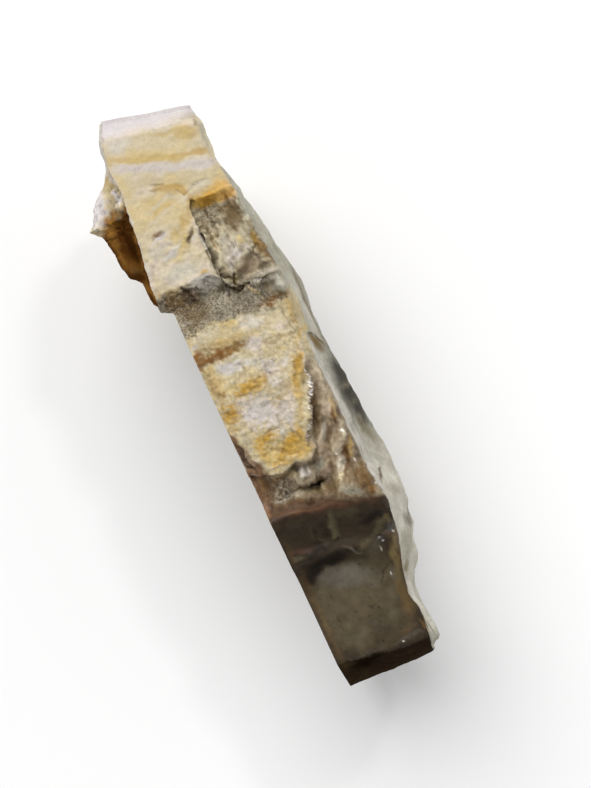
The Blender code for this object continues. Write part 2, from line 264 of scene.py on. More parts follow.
# How far crumbs darken and lighten the tint, and how much lighter a saw arc is
CRUMB_SHADE = (-0.34, 0.28)
ARC_SHADE = 1.16

# Roughness of glossy and of dull places, and how far wear changes it
ROUGHNESS = (0.16, 0.92)
WEAR = (-0.08, 0.10)

# Gloss of the lit faces, and of the faces that are seen at a grazing angle
LIT_GLOSS = 0.18
SHADED_GLOSS = 0.0

# The bump of the finest grain, with its height in metres
BUMP_STRENGTH = 0.7
BUMP_HEIGHT = 0.00022

# The photograph's frame at the top of the stone in millimetres, and its turn
# about the view in degrees
FRAME_HEIGHT = 130.0
TURN = 65.25
SENSOR = 36.0

# The floor and the soft lights, in metres: name, kind, place, size or angle, power
FLOOR_SIZE = 60.0
FLOOR_TINT = (0.94, 0.94, 0.94, 1.0)
WORLD_LIGHT = 0.40
LIGHT_AIM = (0.0, 0.0, 0.04)
LIGHTS = [("key", "SUN", (-0.42, -0.02, 0.58), 50.0, 2.4),
          ("spark", "AREA", (-0.20, 0.24, 0.50), 0.05, 0.35)]

# Fine features of the top as (x, y) lines, with half width and depth
CRACKS = [
    ([(-33.0, 9.8), (-30.5, 9.5), (-27.0, 9.4), (-23.0, 9.8), (-20.3, 10.0), (-18.6, 10.4)], 0.26, 1.5),
    ([(-24.2, 8.9), (-22.0, 9.1), (-19.3, 9.5), (-17.8, 9.2), (-16.5, 8.7)], 0.2, 0.8),
    ([(-29.0, 8.2), (-28.2, 7.8), (-27.0, 6.6)], 0.2, 0.3),
    ([(-28.5, 7.5), (-27.8, 7.3), (-27.0, 6.6)], 0.3, 0.22),
    ([(-30.2, 3.9), (-30.1, 2.6), (-29.7, 1.2)], 0.13, 0.2),
    ([(-16.9, 12.9), (-16.8, 11.6), (-16.6, 10.3), (-16.9, 9.7)], 0.28, 1.0),
    ([(-18.9, 11.3), (-18.2, 10.8), (-17.2, 11.2)], 0.26, 0.7),
    ([(-20.6, 2.4), (-19.8, 3.0), (-18.6, 3.3), (-17.9, 3.6)], 0.3, 0.5),
    ([(-12.4, 16.2), (-10.0, 16.0), (-8.0, 16.2), (-6.5, 16.7)], 0.14, 0.2),
    ([(-6.3, 16.6), (-6.2, 15.0), (-6.6, 13.6), (-7.2, 12.0)], 0.22, 0.12),
    ([(-35.7, 13.6), (-35.3, 11.6), (-34.7, 9.2)], 0.13, 0.2),
    ([(-41.8, -0.45), (-39.5, -0.6), (-37.2, -0.95)], 0.14, 0.4),
    ([(11.0, -0.5), (11.3, 0.5)], 0.2, 0.5),
    ([(7.0, 0.1), (9.6, 0.5), (12.6, 0.9)], 0.14, 0.35),
    ([(35.1, 14.2), (35.6, 13.2), (37.4, 12.0)], 0.22, 0.25),
    ([(23.8, 9.3), (25.6, 8.6), (28.0, 7.7)], 0.5, -0.35),
    ([(28.9, 9.0), (30.2, 10.2), (31.2, 11.2)], 0.3, -0.25),
    ([(5.0, 14.9), (8.0, 13.6), (10.6, 12.4)], 0.4, 0.3),
    ([(-2.0, 9.9), (-1.3, 10.6)], 0.2, 0.2),
    ([(6.9, 5.0), (6.6, 6.6), (7.2, 8.0)], 0.16, 0.2),
    ([(12.6, 3.0), (12.7, 4.4), (12.3, 5.6)], 0.2, -0.2),
]

# Colours by name, as they look in soft daylight, from 0 to 255
PALETTE = {
    "white": (206, 199, 199), "bright": (206, 200, 190), "pink": (210, 197, 184),
    "cream": (205, 190, 157), "tan": (196, 180, 143), "sand": (186, 158, 104), "straw": (203, 178, 118),
    "gold": (188, 153, 82), "ochre": (178, 138, 54), "amber": (150, 104, 34), "rust": (126, 84, 36),
    "lilac": (201, 191, 182), "pearl": (197, 191, 173), "stone": (182, 172, 146), "ash": (136, 126, 106),
    "drab": (120, 102, 70), "slate": (124, 108, 88), "dun": (140, 122, 101), "mud": (84, 64, 36),
    "bark": (110, 91, 64), "brown": (134, 106, 64), "umber": (98, 73, 42), "fibre": (138, 121, 96),
    "rose": (168, 149, 128), "mist": (188, 179, 160), "pitch": (23, 15, 8), "dregs": (44, 32, 24),
    "cocoa": (53, 43, 30), "olive": (86, 76, 56), "moss": (104, 89, 56), "haze": (104, 97, 86),
    "smudge": (80, 73, 53), "brick": (124, 94, 68), "plum": (78, 53, 38), "ember": (98, 77, 46),
    "rim": (176, 172, 154), "patina": (184, 181, 166), "fog": (213, 209, 195), "stripe": (80, 78, 70),
    "dusk": (122, 117, 101), "resin": (84, 50, 18), "honey": (142, 100, 46), "peat": (44, 22, 5),
    # The last colour is a painted highlight for glints on wet places
    "honeycomb": (208, 168, 98), "painted_glint": (244, 240, 232),
}

# How deep the pale rind reaches on the sawn face, at each x
RIND_ON_FACE = [(-52.0, 40.0), (-44.0, 22.0), (-38.0, 9.0), (-30.0, 5.0), (-12.0, 3.4), (6.0, 2.0),
                (13.0, 0.4), (16.0, -2.0), (52.0, -2.0)]

# Stains and bands of each part of the top, painted in this order: x, y, half
# length, half width, the length's angle in degrees from x, colour and strength
RIND_MARKS = [
    (-47.0, 8.0, 10.0, 2.0, 75, "pink", 0.95),
    (-46.2, 3.0, 3.6, 1.9, 80, "pink", 0.8),
    (-44.9, 7.0, 10.0, 2.2, 76, "cream", 0.9),
    (-46.2, 11.5, 4.0, 0.35, 78, "stone", 0.6),
    (-45.6, 10.4, 3.6, 0.8, 78, "tan", 0.6),
    (-43.9, 14.0, 2.4, 1.3, 55, "sand", 0.6),
    (-45.3, 10.6, 2.2, 0.5, 78, "straw", 0.5),
    (-46.6, 15.8, 1.4, 0.9, 60, "ash", 0.55),
    (-46.4, 14.5, 0.5, 0.3, 60, "drab", 0.5),
    (-44.7, 16.2, 0.9, 0.35, 10, "drab", 0.6),
    (-42.4, 16.9, 3.4, 0.6, -2, "rim", 0.7),
    (-46.4, 3.0, 2.4, 1.2, 80, "bright", 0.6),
    (-48.9, 0.95, 0.8, 0.3, 5, "drab", 0.8),
    (-42.9, 6.0, 5.6, 1.5, 72, "straw", 0.7),
    (-44.3, 1.6, 2.6, 0.8, 70, "sand", 0.5),
    (-42.3, 7.2, 4.6, 0.8, 72, "sand", 0.5),
    (-41.6, 9.0, 6.4, 0.45, 72, "straw", 0.95),
    (-40.8, 11.4, 2.6, 0.8, 76, "sand", 0.55),
    (-40.2, 14.6, 2.2, 0.8, 84, "sand", 0.9),
    (-43.9, 13.4, 2.0, 1.4, 60, "straw", 0.5),
    (-38.0, 14.2, 3.6, 1.1, 84, "lilac", 0.95),
    (-39.1, 10.8, 3.4, 1.0, 73, "lilac", 0.9),
    (-40.9, 6.2, 4.2, 1.05, 69, "lilac", 0.95),
    (-42.4, 2.4, 3.2, 1.0, 69, "lilac", 0.95),
    (-39.0, 11.3, 0.7, 0.4, 90, "bright", 0.8),
    (-36.4, 12.4, 4.4, 1.1, 84, "tan", 0.8),
    (-38.8, 5.2, 3.4, 1.1, 70, "tan", 0.6),
    (-36.3, 8.0, 2.6, 1.0, 62, "sand", 0.85),
    (-36.4, 8.2, 1.5, 0.5, 64, "gold", 0.7),
    (-37.2, 6.2, 1.8, 0.7, 66, "sand", 0.7),
    (-38.0, 5.9, 1.7, 0.22, 74, "bark", 0.5),
    (-37.3, 5.4, 1.3, 0.2, 80, "brown", 0.5),
    (-35.3, 8.8, 0.9, 0.25, 40, "bark", 0.4),
    (-35.0, 9.4, 0.9, 0.5, 60, "gold", 0.8),
    (-36.0, 3.8, 3.2, 1.5, 70, "straw", 0.35),
    (-35.4, 12.0, 2.0, 0.22, 97, "bright", 0.7),
    (-34.9, 13.4, 1.6, 0.6, 90, "pearl", 0.5),
    # The gold and honeycomb marks on the hollow's wall are its amber stain painted lighter, as painted light
    # on a wall that faces away from the key light
    (-33.0, 15.3, 2.3, 2.1, 90, "honeycomb", 0.95),
    (-31.9, 15.6, 2.2, 0.8, 90, "honeycomb", 0.9),
    (-33.0, 14.2, 1.1, 0.6, 0, "gold", 0.6),
    (-32.5, 12.2, 3.4, 1.7, 92, "gold", 0.95),
    (-32.3, 12.0, 2.8, 1.1, 92, "ochre", 0.8),
    (-32.6, 12.4, 1.8, 0.6, 94, "amber", 0.5),
    (-33.2, 9.9, 1.0, 0.9, 0, "gold", 0.7),
    (-33.8, 5.4, 3.0, 1.0, 104, "straw", 0.5),
    (-33.6, 5.0, 2.4, 1.4, 100, "sand", 0.3),
    (-35.0, 5.4, 3.0, 0.4, 112, "pearl", 0.5),
    (-33.0, 4.6, 4.0, 0.35, 106, "bright", 0.45),
    (-32.2, 4.0, 3.6, 1.0, 100, "cream", 0.6),
    (-30.4, 7.6, 1.5, 0.9, -35, "gold", 0.6),
    (-29.3, 5.4, 1.4, 0.8, -30, "straw", 0.6),
    (-27.5, 6.1, 1.6, 0.8, -30, "straw", 0.7),
    (-30.5, 2.4, 1.3, 0.45, 97, "brick", 0.9),
    (-29.75, 2.8, 2.0, 0.28, 104, "white", 0.95),
    (-27.9, 1.4, 1.7, 1.2, 100, "pearl", 0.6),
    (-26.8, 4.0, 2.4, 0.6, 118, "bright", 0.7),
    (-25.8, 2.4, 2.0, 0.8, 105, "stone", 0.7),
    (-24.6, 6.4, 2.4, 1.3, 0, "cream", 0.6),
    (-23.0, 3.6, 3.8, 1.3, 86, "pearl", 0.8),
    (-24.6, 1.2, 1.6, 1.2, 90, "cream", 0.5),
    (-21.7, 7.1, 0.8, 0.45, 70, "gold", 0.8),
    (-20.9, 5.6, 2.6, 0.8, 84, "lilac", 0.8),
    (-21.9, 8.9, 3.4, 0.5, -8, "stone", 0.7),
    (-28.0, 7.4, 1.2, 0.5, -38, "mud", 0.75),
    (-27.4, 7.9, 1.2, 0.25, -42, "bright", 0.8),
    (-26.8, 8.8, 2.0, 0.3, 0, "ash", 0.5),
    (-25.6, 9.1, 6.0, 0.3, 1, "bright", 0.7),
    (-26.4, 3.0, 1.7, 0.8, 100, "bright", 0.7),
    (-28.2, 3.6, 1.3, 0.6, 80, "lilac", 0.4),
    (-25.4, 8.5, 2.6, 0.45, 4, "tan", 0.5),
    (-31.2, 8.9, 1.8, 0.4, -14, "sand", 0.6),
    (-32.0, -1.0, 7.5, 0.4, -6, "bright", 0.9),
    (-24.0, -1.5, 4.5, 0.5, -8, "pink", 0.7),
    (-20.5, -1.5, 1.8, 0.7, 0, "sand", 0.6),
    (-39.4, -0.25, 2.6, 0.3, -6, "white", 0.8),
]

# The hollow: brown and smoky floor, pale wedge and grey facet
HOLLOW_MARKS = [
    (-28.3, 15.2, 2.9, 1.9, -16, "bark", 0.95),
    (-29.2, 15.2, 1.7, 1.2, 30, "bark", 0.7),
    (-30.3, 14.2, 1.6, 0.3, 62, "mud", 0.7),
    (-27.3, 14.2, 1.7, 0.25, 30, "mud", 0.35),
    (-30.0, 14.0, 1.2, 0.9, 40, "drab", 0.7),
    (-30.2, 16.3, 1.4, 0.7, 40, "slate", 0.6),
    (-30.6, 12.0, 2.4, 1.3, 0, "ash", 0.5),
    (-28.2, 13.2, 2.0, 0.5, 4, "stone", 0.8),
    (-28.6, 10.6, 1.8, 0.3, -6, "bark", 0.7),
    (-27.0, 11.5, 1.6, 0.28, -14, "tan", 0.7),
    (-25.6, 10.5, 2.2, 0.3, -6, "brown", 0.75),
    (-24.9, 10.9, 2.4, 0.22, -10, "tan", 0.6),
    (-23.2, 9.9, 3.0, 0.22, 3, "bark", 0.7),
    (-24.8, 12.4, 2.0, 1.1, -20, "mist", 0.9),
    (-25.3, 13.3, 1.0, 0.5, 0, "slate", 0.45),
    (-22.3, 12.9, 2.4, 1.5, -38, "lilac", 0.95),
    (-21.0, 11.6, 1.9, 0.9, -20, "bright", 0.85),
    (-22.5, 15.0, 0.9, 0.8, 70, "pink", 0.8),
    (-24.4, 14.7, 0.9, 0.5, -10, "straw", 0.6),
    (-23.5, 13.9, 0.7, 0.4, -30, "tan", 0.7),
    (-23.7, 15.4, 0.9, 0.3, 10, "drab", 0.5),
    (-19.6, 14.2, 2.9, 1.5, 116, "dun", 0.95),
    (-18.5, 16.0, 1.6, 0.7, 90, "dun", 0.8),
    (-21.3, 16.3, 1.6, 0.3, -20, "rose", 0.7),
    (-18.3, 11.2, 0.8, 0.5, -50, "straw", 0.7),
    (-21.6, 17.4, 3.8, 0.9, 8, "brown", 0.95),
    (-23.6, 17.1, 1.5, 0.5, 8, "ochre", 0.4),
    (-19.2, 18.2, 1.8, 0.7, 12, "bark", 0.8),
    (-28.0, 17.8, 3.4, 0.5, 8, "rim", 0.85),
]

# The granular ledge, and the nook beside the block
LEDGE_MARKS = [
    (-16.6, 7.4, 2.8, 1.8, 10, "stone", 0.45),
    (-16.8, 2.8, 3.6, 2.6, 0, "drab", 0.85),
    (-15.2, 1.4, 3.4, 1.4, 0, "bark", 0.4),
    (-19.0, 0.4, 2.0, 1.7, 40, "brown", 0.85),
    (-19.4, 2.6, 1.9, 0.9, 20, "mud", 0.65),
    (-17.8, 3.5, 0.7, 0.5, 0, "mud", 0.7),
    (-18.8, 3.8, 0.8, 0.4, 10, "rose", 0.95),
    (-20.2, 6.6, 2.8, 1.7, 84, "bright", 0.8),
    (-20.4, 1.0, 1.4, 0.8, 84, "sand", 0.7),
    (-16.4, -0.3, 2.4, 0.6, 8, "stone", 0.7),
    (-17.4, 8.9, 0.9, 0.4, -20, "bright", 0.5),
    (-17.5, 15.8, 2.4, 0.5, 84, "mist", 0.95),
    (-17.1, 18.2, 0.7, 0.5, 84, "mist", 0.6),
    (-16.5, 14.6, 0.8, 0.25, 75, "bright", 0.7),
    (-16.6, 11.0, 0.8, 0.4, 85, "straw", 0.75),
    (-15.6, 13.2, 1.5, 0.22, 38, "straw", 0.75),
    (-13.4, 14.2, 1.2, 0.22, 0, "straw", 0.6),
    (-14.8, 17.6, 1.9, 1.1, -4, "patina", 0.95),
    (-13.3, 17.2, 1.0, 0.5, 40, "dusk", 0.7),
    (-16.0, 17.2, 0.5, 0.9, 80, "slate", 0.5),
    (-14.9, 15.8, 1.4, 0.5, 0, "drab", 0.6),
    (-13.4, 15.6, 1.1, 0.6, 90, "bark", 0.6),
    (-12.6, 14.9, 2.4, 1.0, 92, "umber", 0.7),
    (-12.6, 14.6, 1.8, 0.8, 92, "rust", 0.9),
    (-12.7, 15.0, 1.5, 0.7, 92, "resin", 0.45),
    (-12.5, 17.0, 1.4, 1.2, 60, "mud", 0.9),
    (-12.0, 18.4, 2.0, 0.6, 0, "sand", 0.6),
]

# The block: rusty band, lilac patches and ochre stains
BLOCK_MARKS = [
    (-12.0, 4.6, 4.2, 1.2, 90, "straw", 0.5),
    (-11.9, 3.2, 2.6, 1.1, 90, "pearl", 0.6),
    (-12.3, 6.8, 1.5, 0.7, 90, "straw", 0.8),
    (-10.7, 0.4, 0.9, 0.4, 90, "bright", 0.8),
    (-11.0, 10.6, 2.2, 1.9, 80, "bright", 0.7),
    (-11.6, 13.4, 1.6, 0.8, 60, "pearl", 0.7),
    (-9.8, 14.6, 2.4, 1.7, 10, "cream", 0.95),
    (-8.3, 14.8, 1.3, 1.0, 60, "pink", 0.6),
    (-9.6, 17.6, 2.6, 1.0, -4, "sand", 0.9),
    (-9.0, 18.4, 1.8, 0.5, 0, "tan", 0.6),
    (-11.4, 17.6, 0.8, 0.8, 0, "gold", 0.5),
    (-9.5, 5.0, 4.2, 1.0, 88, "sand", 0.85),
    (-9.0, 10.0, 1.6, 0.6, 80, "straw", 0.5),
    (-8.2, 4.0, 4.4, 1.2, 91, "brown", 0.9),
    (-7.9, 3.2, 3.6, 0.9, 92, "rust", 0.98),
    (-7.9, 2.4, 2.4, 0.6, 92, "resin", 0.5),
    (-8.0, 7.4, 2.4, 0.7, 92, "brown", 0.8),
    (-8.1, 8.6, 1.6, 0.3, 92, "rust", 0.7),
    (-8.4, 0.3, 1.7, 1.2, 0, "rust", 0.95),
    (-7.6, 0.2, 0.8, 0.6, 0, "umber", 0.5),
    (-9.9, 1.4, 1.0, 0.8, 60, "brown", 0.5),
    (-5.4, 4.6, 3.4, 1.4, 88, "pearl", 0.9),
    (-5.4, 4.6, 2.8, 1.1, 88, "white", 0.7),
    (-7.0, 9.6, 1.7, 1.6, 0, "lilac", 0.9),
    (-4.4, 8.4, 2.0, 1.1, 60, "bright", 0.7),
    (-4.6, 6.4, 1.2, 0.3, 10, "brown", 0.5),
    (-6.6, 11.6, 1.2, 0.8, 60, "rose", 0.5),
    (-6.3, 13.2, 2.2, 0.4, 95, "brown", 0.6),
    (-6.6, 15.2, 1.6, 0.4, 92, "gold", 0.6),
    (-4.6, 13.8, 2.6, 1.0, 80, "cream", 0.8),
    (-4.6, 13.2, 1.2, 0.5, 60, "straw", 0.6),
    (-2.4, 12.7, 1.4, 0.8, 110, "bright", 0.75),
    (-5.6, 17.2, 1.1, 0.5, -35, "gold", 0.8),
    (-4.3, 16.2, 1.5, 0.7, -25, "gold", 0.6),
    (-2.7, 16.4, 2.6, 0.45, -6, "pink", 0.8),
    (-1.9, 15.3, 1.9, 1.1, -25, "gold", 0.95),
    (-0.9, 14.7, 1.5, 1.0, -40, "ochre", 0.9),
    (0.4, 13.7, 1.7, 1.3, -30, "gold", 0.95),
    (2.3, 13.0, 2.3, 1.0, -16, "gold", 0.9),
    (3.9, 12.7, 1.4, 0.6, -12, "straw", 0.8),
    (0.9, 14.6, 1.4, 0.35, -20, "bark", 0.4),
    (2.0, 11.6, 1.4, 0.8, -20, "sand", 0.5),
    (2.4, 9.9, 1.0, 0.7, 60, "sand", 0.7),
    (1.2, 10.9, 1.6, 0.9, 20, "rose", 0.35),
    (-2.2, 10.2, 2.3, 1.5, -10, "lilac", 0.9),
    (-3.2, 9.6, 0.8, 0.3, 20, "dusk", 0.3),
    (0.0, 10.3, 1.0, 0.9, 90, "bright", 0.7),
    (-1.5, 10.3, 0.5, 0.35, 0, "bark", 0.6),
    (-1.2, 6.4, 3.8, 1.8, 96, "gold", 0.9),
    (-0.7, 5.0, 2.0, 1.1, 96, "ochre", 0.95),
    (-2.6, 5.2, 2.0, 0.6, 90, "tan", 0.8),
    (-2.0, 3.0, 1.6, 0.8, 90, "straw", 0.5),
    (-3.4, 0.8, 3.6, 1.2, 3, "sand", 0.85),
    (-3.4, 0.4, 3.2, 0.7, 3, "brown", 0.6),
    (-4.2, 2.2, 1.6, 0.6, 20, "sand", 0.5),
    (-1.3, 1.5, 0.6, 0.4, 0, "rust", 0.7),
    (-6.3, 1.0, 0.6, 1.0, 0, "straw", 0.6),
    (0.4, 1.6, 1.6, 0.3, 84, "drab", 0.5),
    (1.9, 1.3, 2.0, 1.7, 100, "ochre", 0.98),
    (2.6, 0.4, 1.2, 0.6, 0, "gold", 0.7),
    (3.1, 5.8, 3.7, 2.9, 60, "lilac", 0.98),
    (3.3, 5.4, 2.6, 1.9, 60, "white", 0.5),
    (1.5, 6.0, 1.7, 0.8, 95, "pearl", 0.4),
    (3.4, 6.2, 2.0, 1.4, 40, "mist", 0.35),
    (3.4, 3.6, 2.2, 0.8, 0, "lilac", 0.7),
    (5.4, 7.4, 1.6, 1.1, 0, "lilac", 0.8),
    (5.5, 9.8, 3.0, 1.4, -12, "lilac", 0.85),
    (3.6, 11.0, 1.8, 0.7, -10, "pink", 0.6),
    (2.5, 6.6, 0.5, 0.4, 0, "dusk", 0.5),
    (5.7, 8.1, 0.5, 0.3, 0, "dusk", 0.45),
    (5.6, 3.2, 0.4, 0.25, 0, "dusk", 0.5),
    (6.2, 11.8, 2.4, 0.6, -24, "sand", 0.6),
    (6.6, 1.7, 1.7, 0.8, 14, "stone", 0.75),
    (5.0, 2.6, 1.4, 0.6, 0, "tan", 0.5),
    (4.2, 0.6, 0.9, 0.9, 0, "sand", 0.6),
    (7.9, 7.6, 1.0, 0.8, 90, "bright", 0.7),
    (10.4, 4.2, 3.4, 1.7, 8, "straw", 0.9),
    (10.8, 8.0, 3.4, 2.5, 95, "straw", 0.9),
    (10.8, 8.2, 3.2, 2.2, 95, "gold", 0.9),
    (9.6, 8.8, 2.4, 1.1, 100, "ochre", 0.95),
    (11.2, 6.6, 2.0, 0.9, 110, "ochre", 0.8),
    (10.8, 6.5, 0.6, 0.4, 90, "amber", 0.8),
    (9.4, 6.2, 1.2, 0.5, 120, "straw", 0.7),
    (12.2, 9.8, 1.6, 0.9, 100, "gold", 0.9),
    (12.0, 6.2, 2.6, 1.1, 98, "gold", 0.7),
    (8.7, 10.3, 1.6, 0.8, 10, "gold", 0.6),
    (11.4, 10.5, 1.6, 0.4, -10, "sand", 0.8),
    (7.9, 4.6, 2.3, 1.4, 100, "ochre", 0.75),
    (7.6, 5.2, 1.2, 0.7, 100, "ochre", 0.85),
    (9.4, 3.4, 2.8, 0.9, 8, "gold", 0.6),
    (6.8, 6.4, 1.8, 0.3, 95, "drab", 0.6),
    (12.6, 4.2, 1.4, 0.25, 92, "bright", 0.4),
    (9.0, 9.5, 2.2, 0.35, 24, "bark", 0.55),
    (11.8, 8.4, 1.7, 0.3, 104, "umber", 0.45),
    (10.0, 5.4, 1.8, 0.3, 62, "bark", 0.5),
    (8.4, 7.6, 1.3, 0.3, -50, "umber", 0.45),
    (-0.2, 4.4, 1.7, 0.3, 70, "bark", 0.5),
    (-1.8, 7.6, 1.5, 0.3, 110, "bark", 0.45),
    (1.6, 1.8, 1.6, 0.3, 60, "bark", 0.5),
    (-0.6, 13.8, 2.4, 0.3, -28, "bark", 0.5),
    (-2.9, 15.2, 1.4, 0.3, 30, "bark", 0.4),
    (11.6, 2.4, 1.6, 0.4, 8, "stone", 0.6),
]

# The slope and the knobs below the block
SLOPE_MARKS = [
    (8.2, 13.5, 4.8, 0.75, -24, "bark", 0.95),
    (6.6, 14.5, 4.2, 0.3, -20, "umber", 0.4),
    (3.4, 14.9, 1.8, 0.4, -16, "umber", 0.8),
    (3.0, 16.2, 3.0, 0.7, -8, "slate", 0.7),
    (1.2, 16.9, 2.4, 0.3, 0, "stone", 0.6),
    (8.2, 15.6, 3.2, 0.7, -22, "rose", 0.6),
    (10.6, 13.9, 2.0, 0.55, -22, "mist", 0.8),
    (12.2, 12.7, 1.3, 0.6, -30, "rose", 0.9),
    (8.5, 16.6, 1.4, 0.4, -4, "rust", 0.7),
    (7.6, 17.1, 2.2, 0.35, 0, "sand", 0.7),
    (10.6, 15.6, 1.0, 0.7, 50, "slate", 0.6),
    (12.2, 17.1, 1.0, 0.5, 0, "stone", 0.7),
    (15.2, 16.0, 2.8, 0.6, -22, "umber", 0.95),
    (15.0, 16.8, 2.0, 0.3, -18, "gold", 0.55),
    (16.8, 15.1, 4.2, 0.4, -27, "umber", 0.9),
    (16.2, 14.6, 3.6, 0.3, -27, "mist", 0.6),
    (14.2, 13.6, 4.0, 0.4, -24, "umber", 0.5),
    (17.0, 14.1, 2.2, 0.45, -28, "mist", 0.7),
    (18.6, 13.4, 1.4, 0.5, -35, "tan", 0.6),
    (14.4, 12.4, 1.3, 0.9, -60, "slate", 0.8),
    (15.4, 11.0, 1.5, 0.9, -40, "dusk", 0.8),
    (17.3, 11.7, 1.6, 0.6, -30, "rose", 0.8),
    (19.4, 12.4, 0.9, 0.8, 20, "drab", 0.8),
    (19.4, 10.8, 1.0, 0.6, 60, "brown", 0.5),
    (21.6, 14.3, 2.2, 1.1, 62, "dusk", 0.95),
    (20.6, 16.7, 3.2, 1.3, -4, "umber", 0.95),
    (17.4, 17.3, 2.4, 0.6, 0, "bark", 0.8),
    (19.0, 15.0, 2.6, 1.0, -24, "bark", 0.6),
    (22.8, 16.9, 0.8, 0.5, 0, "rust", 0.5),
    (15.7, 8.1, 2.2, 1.6, 85, "ash", 0.8),
    (15.5, 8.3, 1.2, 0.9, 60, "lilac", 0.75),
    (15.4, 8.5, 0.7, 0.3, 0, "dusk", 0.7),
    (14.0, 9.0, 1.8, 0.8, 95, "rose", 0.9),
    (14.6, 6.6, 0.9, 0.7, 0, "drab", 0.7),
    (15.0, 6.0, 0.6, 0.9, 0, "tan", 0.7),
    (16.8, 4.2, 2.4, 2.0, 0, "slate", 0.7),
    (14.4, 4.0, 1.7, 0.7, 95, "brown", 0.9),
    (17.6, 4.4, 1.9, 0.5, 85, "dusk", 0.7),
    (18.3, 3.0, 1.2, 0.25, 80, "mist", 0.8),
    (18.4, 6.6, 2.0, 0.4, 84, "stone", 0.6),
    (19.2, 8.7, 1.6, 0.7, 78, "moss", 0.9),
    (18.0, 9.2, 2.0, 0.4, 86, "pitch", 0.98),
    (17.8, 6.4, 1.4, 0.25, 90, "mud", 0.8),
    (20.1, 10.0, 2.4, 0.35, 78, "rose", 0.6),
    (19.2, 5.6, 3.4, 0.5, 84, "rose", 0.6),
    (19.4, 4.0, 6.0, 1.2, 80, "slate", 0.7),
    (19.5, 5.5, 5.0, 0.7, 80, "cocoa", 0.45),
    (19.7, 4.0, 6.0, 1.1, 80, "umber", 0.8),
    (20.2, 5.4, 7.0, 0.8, 79, "plum", 0.95),
    (20.4, 10.6, 2.2, 0.6, 72, "bark", 0.8),
    (6.0, 17.5, 7.0, 0.35, 1, "bark", 0.45),
    (15.3, 15.6, 1.8, 1.1, -20, "resin", 0.35),
    # Painted highlights on the wet slope
    (11.8, 16.9, 0.4, 0.25, 60, "painted_glint", 0.9),
    (14.8, 14.4, 0.25, 0.15, 0, "painted_glint", 0.8),
    (17.0, 16.7, 0.3, 0.18, -20, "painted_glint", 0.8),
    (21.8, 18.1, 0.3, 0.2, 0, "painted_glint", 0.8),
    (21.9, 12.8, 2.8, 0.7, 70, "umber", 0.8),
]

